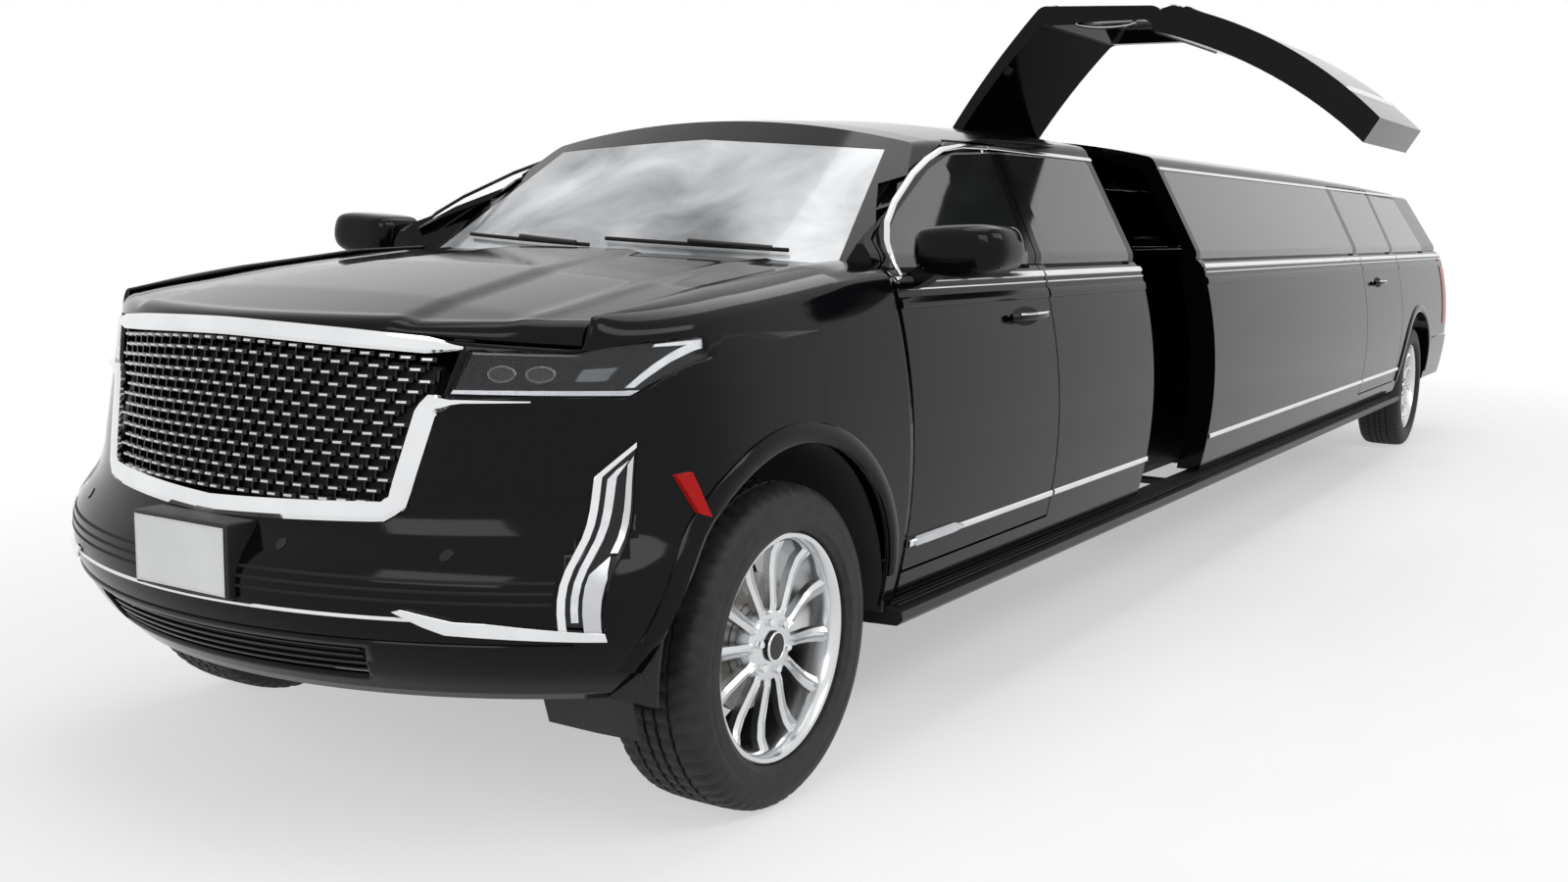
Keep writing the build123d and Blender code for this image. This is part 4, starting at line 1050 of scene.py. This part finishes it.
def mirror_ring(x, side, share):
    """The mirror's outline at an X, drawn in about its middle by a share."""
    middle_y, middle_z = 1.130, 1.390
    return [
        (x, side * (middle_y + (y - middle_y) * share), road(middle_z + (z - middle_z) * share))
        for y, z in MIRROR_OUTLINE
    ]


for side, side_name in SIDES:
    door = f"front_door_{side_name}"
    rings = [mirror_ring(x, side, share) for x, share in MIRROR_STATIONS]
    housing = loft_rings(f"mirror_housing_{side_name}", rings, PAINT, door, angle=60)
    modifier = housing.modifiers.new("round", "SUBSURF")
    modifier.levels = modifier.render_levels = 2
    loft_rings(f"mirror_glass_{side_name}",
               [mirror_ring(x, side, 0.86) for x in (-0.7585, -0.7545)], CHROME, door)


# Wheels

TYRE_PROFILE = (
    (0.7440, 0.2930), (0.7330, 0.3100), (0.7325, 0.3300), (0.7345, 0.3620), (0.7420, 0.3850),
    (0.7540, 0.3990), (0.7680, 0.4060), (0.7900, 0.4090), (0.8080, 0.4100), (0.8100, 0.4020),
    (0.8160, 0.4020), (0.8180, 0.4106), (0.8480, 0.4110), (0.8500, 0.4025), (0.8570, 0.4025),
    (0.8590, 0.4110), (0.8810, 0.4110), (0.8830, 0.4025), (0.8900, 0.4025), (0.8920, 0.4110),
    (0.9220, 0.4106), (0.9240, 0.4020), (0.9300, 0.4020), (0.9320, 0.4100), (0.9500, 0.4090),
    (0.9720, 0.4060), (0.9860, 0.3990), (0.9980, 0.3850), (1.0055, 0.3620), (1.0072, 0.3480),
    (1.0060, 0.3440), (1.0072, 0.3400), (1.0075, 0.3300), (1.0070, 0.3110), (1.0030, 0.3060),
    (0.9960, 0.2930),
)
RIM_PROFILE = (
    (0.7545, 0.2910), (0.9850, 0.2910), (0.9870, 0.2860), (0.9850, 0.2760), (0.9760, 0.2690),
    (0.9600, 0.2640), (0.9200, 0.2560), (0.7600, 0.2560), (0.7545, 0.2640),
)
HUB_PROFILE = (
    (0.8900, 0.0390), (0.8900, 0.1020), (0.9350, 0.0980), (0.9520, 0.0860), (0.9560, 0.0560),
    (0.9560, 0.0390),
)
CAP_PROFILE = (
    (0.9450, 0.0), (0.9450, 0.0370), (0.9650, 0.0370), (0.9670, 0.0350), (0.9675, 0.0200),
    (0.9675, 0.0),
)
CAP_RING_PROFILE = (
    (0.9640, 0.0330), (0.9640, 0.0390), (0.9680, 0.0385), (0.9690, 0.0360), (0.9680, 0.0335),
)
DISC_PROFILE = ((0.874, 0.060), (0.874, 0.175), (0.888, 0.175), (0.888, 0.060))
SPOKE_STATIONS = (
    (0.066, 0.952, 0.0170), (0.105, 0.954, 0.0150), (0.150, 0.949, 0.0155),
    (0.195, 0.945, 0.0175), (0.235, 0.948, 0.0200), (0.266, 0.962, 0.0225),
)
SPOKE_SECTION = (
    (-1.0, 0.026), (-0.94, 0.007), (-0.34, 0.0), (-0.14, 0.010), (0.14, 0.010), (0.34, 0.0),
    (0.94, 0.007), (1.0, 0.026),
)
SPOKES = 12
FIRST_SPOKE = math.radians(6)
NUT_CIRCLE = 0.066


def tread_notch(step, y, radius):
    """Cross grooves on the shoulders and fine cuts in the ribs."""
    if radius < 0.396:
        return 0.0
    if abs(y - TRACK / 2) > 0.066:
        return 0.006 if step % 4 == 0 else 0.0
    return 0.004 if step % 4 == 2 and radius > 0.408 else 0.0


def turned(name, profile, centre_x, side, material, body, steps=96, notch=None, angle=32):
    """A closed ring turned about a wheel's axle from (half width, radius) points."""
    verts = []
    for step in range(steps):
        turn = 2 * math.pi * step / steps
        for y, radius in profile:
            reach = radius - (notch(step, y, radius) if notch else 0.0)
            verts.append((centre_x + reach * math.cos(turn), side * y,
                          road(AXLE_HEIGHT + reach * math.sin(turn))))
    faces = ring_faces(steps, len(profile), closed=True)
    return make_piece(name, verts, faces, material, body, angle=angle)


def make_spokes(name, centre_x, side, body):
    """Ridged spokes, each with a sunk channel down its middle."""
    verts, faces = [], []
    for spoke in range(SPOKES):
        angle = 2 * math.pi * spoke / SPOKES + FIRST_SPOKE
        radial = Vector((math.cos(angle), 0, math.sin(angle)))
        across = Vector((-math.sin(angle), 0, math.cos(angle)))
        base = len(verts)
        for radius, y, half in SPOKE_STATIONS:
            for offset, depth in SPOKE_SECTION:
                if abs(offset) < 0.2:
                    depth *= min(1.0, max(radius - 0.08, 0.0) / 0.05)
                at = radial * radius + across * half * offset
                verts.append((centre_x + at.x, side * (y - depth), road(AXLE_HEIGHT) + at.z))
        faces += ring_faces(len(SPOKE_STATIONS), len(SPOKE_SECTION), base)
    return make_piece(name, verts, faces, ALLOY, body, angle=28)


def make_nuts(name, centre_x, side, body):
    """Six hexagonal wheel nuts round the cap."""
    verts, faces = [], []
    for x, z in wheel_arc(NUT_CIRCLE, range(15, 375, 60), centre_x):
        base = len(verts)
        for y, radius in ((0.946, 0.0115), (0.964, 0.0110), (0.968, 0.0070)):
            for k in range(6):
                across, up = circle_point(radius, 2 * math.pi * k / 6)
                verts.append((x + across, side * y, road(z + up)))
        faces += ring_faces(3, 6, base)
    make_piece(name, verts, faces, CHROME, body)


def make_wheel(end, centre_x, side, side_name):
    """One wheel's tyre and barrel in place of the CAD ones, and all within the barrel."""
    key = f"{end}_{side_name}"
    body = f"{end}_wheel_{side_name}"
    tyre = turned(f"tread_{key}", TYRE_PROFILE, centre_x, side, RUBBER, body, 240, tread_notch)
    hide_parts(f"tyre_{key}")
    rim = turned(f"barrel_{key}", RIM_PROFILE, centre_x, side, ALLOY, body)
    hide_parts(f"rim_{key}")
    turned(f"hub_{key}", HUB_PROFILE, centre_x, side, ALLOY, body, 48)
    make_spokes(f"spokes_{key}", centre_x, side, body)
    turned(f"cap_{key}", CAP_PROFILE, centre_x, side, GLOSS, body, 40)
    turned(f"cap_ring_{key}", CAP_RING_PROFILE, centre_x, side, CHROME, body, 40, angle=80)
    make_nuts(f"wheel_nuts_{key}", centre_x, side, body)
    turned(f"brake_disc_{key}", DISC_PROFILE, centre_x, side, STEEL, body, 64)


for end, centre_x in (("front", 0.0), ("rear", REAR_AXLE_X)):
    for side, side_name in SIDES:
        make_wheel(end, centre_x, side, side_name)

# Rear wheel flares and running-board ribs
for side, side_name in SIDES:
    path = wheel_arc(FLARE_RADIUS, range(8, 173, 4), REAR_AXLE_X)
    ribbon(f"rear_flare_{side_name}", path, FLARE_WIDTH, 0.010, on_body(side), PAINT)
    for index in range(6):
        low, high = sorted(side * (reach + 0.020 * index) for reach in (0.905, 0.914))
        block_piece(f"board_rib_{index}_{side_name}", (-7.58, low, 0.1670),
                    (-0.560, high, 0.1712), MATT, edge=0.0015)


def make_wipers():
    """Two arms and blades lying on the foot of the windshield."""
    def screen(y, height):
        base = SCREEN_BASE_X - SCREEN_RADIUS + math.sqrt(SCREEN_RADIUS**2 - y * y)
        x = base - (height - SCREEN_BASE_HEIGHT) * SCREEN_RAKE
        return Vector((x + 0.014, y, road(height) + 0.006))

    blade_foot, arm_foot = 1.372, 1.366
    for index, (pivot, start, end) in enumerate(((0.58, 0.62, 0.02), (-0.06, -0.02, -0.62))):
        blade = [
            screen(start + (end - start) * k / 16, blade_foot + 0.020 * k / 16) for k in range(17)
        ]
        tube_piece(f"wiper_blade_{index}", blade, 0.006, MATT)
        middle = (start + end) / 2
        arm = [
            screen(pivot + (middle - pivot) * k / 8, arm_foot + 0.014 * k / 8)
            + Vector((0.004, 0, 0.012)) for k in range(9)
        ]
        tube_piece(f"wiper_arm_{index}", arm, 0.007, PLASTIC)


make_wipers()


# Seats and the inside of the raised door

def make_cushion(name, middle, size, lean=0.0, channels=0, along=1, across=2, replaces=None):
    """A crowned pad about a middle point, leaning back about Y, with sewn channels.

    along is the axis that the channels are spaced on and across the axis that the pad swells on.
    """
    steps, power, crown = 18, 7.0, 0.10
    shape = bmesh.new()
    bmesh.ops.create_cube(shape, size=2.0)
    bmesh.ops.subdivide_edges(shape, edges=shape.edges[:], cuts=steps - 1, use_grid_fill=True)
    other = 3 - along - across
    turn = Matrix.Rotation(lean, 3, "Y")
    for vert in shape.verts:
        co = vert.co.copy()
        length = (abs(co.x) ** power + abs(co.y) ** power + abs(co.z) ** power) ** (1 / power)
        co = co * (max(abs(co.x), abs(co.y), abs(co.z)) / length)
        flat_a, flat_b = co[along], co[other]
        swell = (1 - crown) + crown * (1 - flat_a * flat_a) * (1 - flat_b * flat_b)
        if channels:
            groove = abs(math.sin(math.pi * channels * (flat_a + 1) / 2))
            swell -= 0.05 * max(0.0, 1 - groove * 3.0)
        co[across] *= swell
        co[other] *= 1 - 0.02 * (1 - flat_a * flat_a)
        local = Vector((co.x * size[0] / 2, co.y * size[1] / 2, co.z * size[2] / 2))
        vert.co = turn @ local + Vector(middle)
    mesh = bpy.data.meshes.new(name)
    shape.to_mesh(mesh)
    shape.free()
    crisp(mesh, 70)
    mesh.materials.append(LEATHER)
    piece = linked(name, mesh)
    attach(piece, CAR)
    if replaces:
        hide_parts(replaces)


def make_seats():
    """Two front seats, the long side bench and the rear bench."""
    for side, side_name in SIDES:
        y = side * 0.400
        make_cushion(f"front_seat_base_{side_name}", (-1.335, y, road(0.620)), (0.48, 0.47, 0.150),
                     channels=4, along=1, replaces="seats" if side == 1 else None)
        block_piece(f"front_seat_plinth_{side_name}", (-1.60, y - 0.19, road(0.472)),
                    (-1.13, y + 0.19, road(0.560)), PLASTIC, edge=0.02)
        make_cushion(f"front_seat_back_{side_name}", (-1.605, y, road(0.985)), (0.11, 0.46, 0.60),
                     lean=math.radians(-9), channels=4, along=1, across=0)
        make_cushion(f"head_restraint_{side_name}", (-1.695, y, road(1.365)), (0.075, 0.26, 0.155),
                     lean=math.radians(-6), along=1, across=0)
        for index, offset in enumerate((-0.06, 0.06)):
            tube_piece(f"head_restraint_post_{index}_{side_name}",
                       [(-1.670, y + offset, road(1.250)), (-1.690, y + offset, road(1.310))],
                       0.006, CHROME)
    block_piece("side_bench_plinth", (-7.290, -0.800, road(0.470)), (-2.310, -0.310, road(0.730)),
                LINING, edge=0.02)
    for index in range(5):
        x = -2.80 - 1.0 * index
        make_cushion(f"side_bench_seat_{index}", (x, -0.515, road(0.805)), (0.985, 0.470, 0.170),
                     channels=4, along=0)
        make_cushion(f"side_bench_back_{index}", (x, -0.780, road(1.050)), (0.985, 0.095, 0.360),
                     channels=4, along=0, across=1)
    block_piece("rear_bench_plinth", (-8.740, -0.450, road(0.590)), (-8.130, 0.450, road(0.760)),
                LINING, edge=0.02)
    for side, side_name in SIDES:
        y = side * 0.234
        make_cushion(f"rear_bench_seat_{side_name}", (-8.330, y, road(0.835)), (0.52, 0.455, 0.160),
                     channels=3, along=1)
        make_cushion(f"rear_bench_back_{side_name}", (-8.745, y, road(1.130)),
                     (0.13, 0.455, 0.43), channels=3, along=1, across=0)


make_seats()

# The raised jet door's pale sheet of painted light inside its window, and a grab handle
left = on_body(1)
painted_light_sheet = surface_panel(
    "jet_door_painted_light", ((-2.668, 1.335), (-3.332, 1.335), (-3.332, 1.693), (-2.668, 1.693)),
    -0.008, -0.011, left, PAINTED_LIGHT_SHEET, "jet_door", 0.05, edge=0,
)
painted_light_sheet.data.transform(JET_RAISE)
handle = [
    left(-2.640, 1.400 + 0.020 * k, -0.066 - 0.022 * math.sin(math.pi * k / 11) ** 0.5)
    for k in range(12)
]
tube_piece("jet_door_grab_handle", handle, 0.007, CHROME, "jet_door", jet=True)

# Camera

CAMERA_AT = (3.168, 2.941, road(1.459))
CAMERA_YAW = math.radians(-148.19)
CAMERA_PITCH = math.radians(-8.10)
CAMERA_ROLL = math.radians(1.11)
FOCAL_PIXELS = 1576.2
IMAGE_WIDTH = 1600


def place_camera():
    """The camera as it was fitted to the photograph."""
    look = Vector((
        math.cos(CAMERA_YAW) * math.cos(CAMERA_PITCH),
        math.sin(CAMERA_YAW) * math.cos(CAMERA_PITCH),
        math.sin(CAMERA_PITCH),
    ))
    right = look.cross(Vector((0, 0, 1))).normalized()
    up = right.cross(look)
    right_rolled = right * math.cos(CAMERA_ROLL) + up * math.sin(CAMERA_ROLL)
    up_rolled = up * math.cos(CAMERA_ROLL) - right * math.sin(CAMERA_ROLL)
    data = bpy.data.cameras.new("photo_camera")
    data.sensor_width = 36.0
    data.lens = FOCAL_PIXELS / IMAGE_WIDTH * data.sensor_width
    data.clip_end = 200.0
    camera = linked("photo_camera", data)
    rotation = Matrix((right_rolled, up_rolled, -look)).transposed()
    camera.matrix_world = Matrix.Translation(CAMERA_AT) @ rotation.to_4x4()
    bpy.context.scene.camera = camera


# Floor, world and lights

def math_node(tree, operation, first, second):
    """The output of a math node that joins two values."""
    node = tree.nodes.new("ShaderNodeMath")
    node.operation = operation
    tree.links.new(first, node.inputs[0])
    tree.links.new(second, node.inputs[1])
    return node.outputs["Value"]


def seen_directly(tree):
    """One for what the camera, metal or glass shows, and zero for light on the object."""
    path = tree.nodes.new("ShaderNodeLightPath")
    seen = math_node(
        tree, "MAXIMUM", path.outputs["Is Camera Ray"], path.outputs["Is Transmission Ray"]
    )
    return math_node(tree, "MAXIMUM", seen, path.outputs["Is Glossy Ray"])


def floor_material():
    """Pale floor that keeps the shadow near the car and runs out to white."""
    material, shader = new_material("studio_floor", (0.80, 0.80, 0.80), 0.9, specular=0.1)
    vary_colour(material, shader, noise(material, 3.0), (0.79, 0.79, 0.79), (0.81, 0.81, 0.81))
    tree = material.node_tree
    nodes, links = tree.nodes, tree.links
    white = nodes.new("ShaderNodeEmission")
    set_inputs(white, {"Color": (1.0, 1.0, 1.0, 1.0)})
    coordinates = nodes.new("ShaderNodeTexCoord")
    offset = nodes.new("ShaderNodeMapping")
    middle_x, stretch_x, stretch_y = -4.2, 0.35, 0.75
    set_inputs(offset, {
        "Location": (-middle_x * stretch_x, 0.0, 0.0), "Scale": (stretch_x, stretch_y, 0.0),
    })
    length = nodes.new("ShaderNodeVectorMath")
    length.operation = "LENGTH"
    spread = nodes.new("ShaderNodeMapRange")
    set_inputs(spread, {"From Min": 1.2, "From Max": 3.4, "To Min": 0.45, "To Max": 1.0})
    links.new(coordinates.outputs["Object"], offset.inputs["Vector"])
    links.new(offset.outputs["Vector"], length.inputs[0])
    links.new(length.outputs["Value"], spread.inputs["Value"])
    mix = nodes.new("ShaderNodeMixShader")
    share = math_node(tree, "MULTIPLY", seen_directly(tree), spread.outputs["Result"])
    links.new(share, mix.inputs["Fac"])
    links.new(shader.outputs["BSDF"], mix.inputs[1])
    links.new(white.outputs["Emission"], mix.inputs[2])
    links.new(mix.outputs["Shader"], nodes["Material Output"].inputs["Surface"])
    return material


def make_floor():
    """A plain pale floor at road level."""
    size = 60.0
    level = road(0.0)
    mesh = bpy.data.meshes.new("studio_floor")
    mesh.from_pydata(
        [(-size, -size, level), (size, -size, level), (size, size, level), (-size, size, level)],
        [], [(0, 1, 2, 3)],
    )
    mesh.materials.append(floor_material())
    linked("studio_floor", mesh)


def make_world():
    """Soft light on the car, and white where the camera, metal or glass shows the world."""
    world = bpy.data.worlds.new("studio")
    bpy.context.scene.world = world
    world.use_nodes = True
    tree = world.node_tree
    background = tree.nodes["Background"]
    set_inputs(background, {"Color": (0.80, 0.82, 0.85, 1.0), "Strength": 0.5})
    seen = tree.nodes.new("ShaderNodeBackground")
    set_inputs(seen, {"Color": (1.0, 1.0, 1.0, 1.0), "Strength": 1.0})
    mix = tree.nodes.new("ShaderNodeMixShader")
    tree.links.new(seen_directly(tree), mix.inputs["Fac"])
    tree.links.new(background.outputs["Background"], mix.inputs[1])
    tree.links.new(seen.outputs["Background"], mix.inputs[2])
    tree.links.new(mix.outputs["Shader"], tree.nodes["World Output"].inputs["Surface"])


def area_light(name, at, target, size, energy):
    """A soft rectangular lamp that points at a target."""
    data = bpy.data.lights.new(name, "AREA")
    data.shape = "RECTANGLE"
    data.size, data.size_y = size
    data.energy = energy
    light = linked(name, data)
    light.location = at
    direction = Vector(target) - Vector(at)
    light.rotation_euler = direction.to_track_quat("-Z", "Y").to_euler()


place_camera()
make_floor()
make_world()
area_light("key", (-1.0, 8.0, 7.0), (-3.5, 0.0, 0.8), (10.0, 3.0), 420.0)
area_light("overhead", (-4.0, 0.0, 7.5), (-4.0, 0.0, 0.0), (12.0, 4.0), 380.0)
area_light("front", (7.5, 1.5, 4.5), (0.5, 0.0, 0.8), (4.0, 3.0), 150.0)
bpy.context.scene.view_settings.view_transform = "Standard"
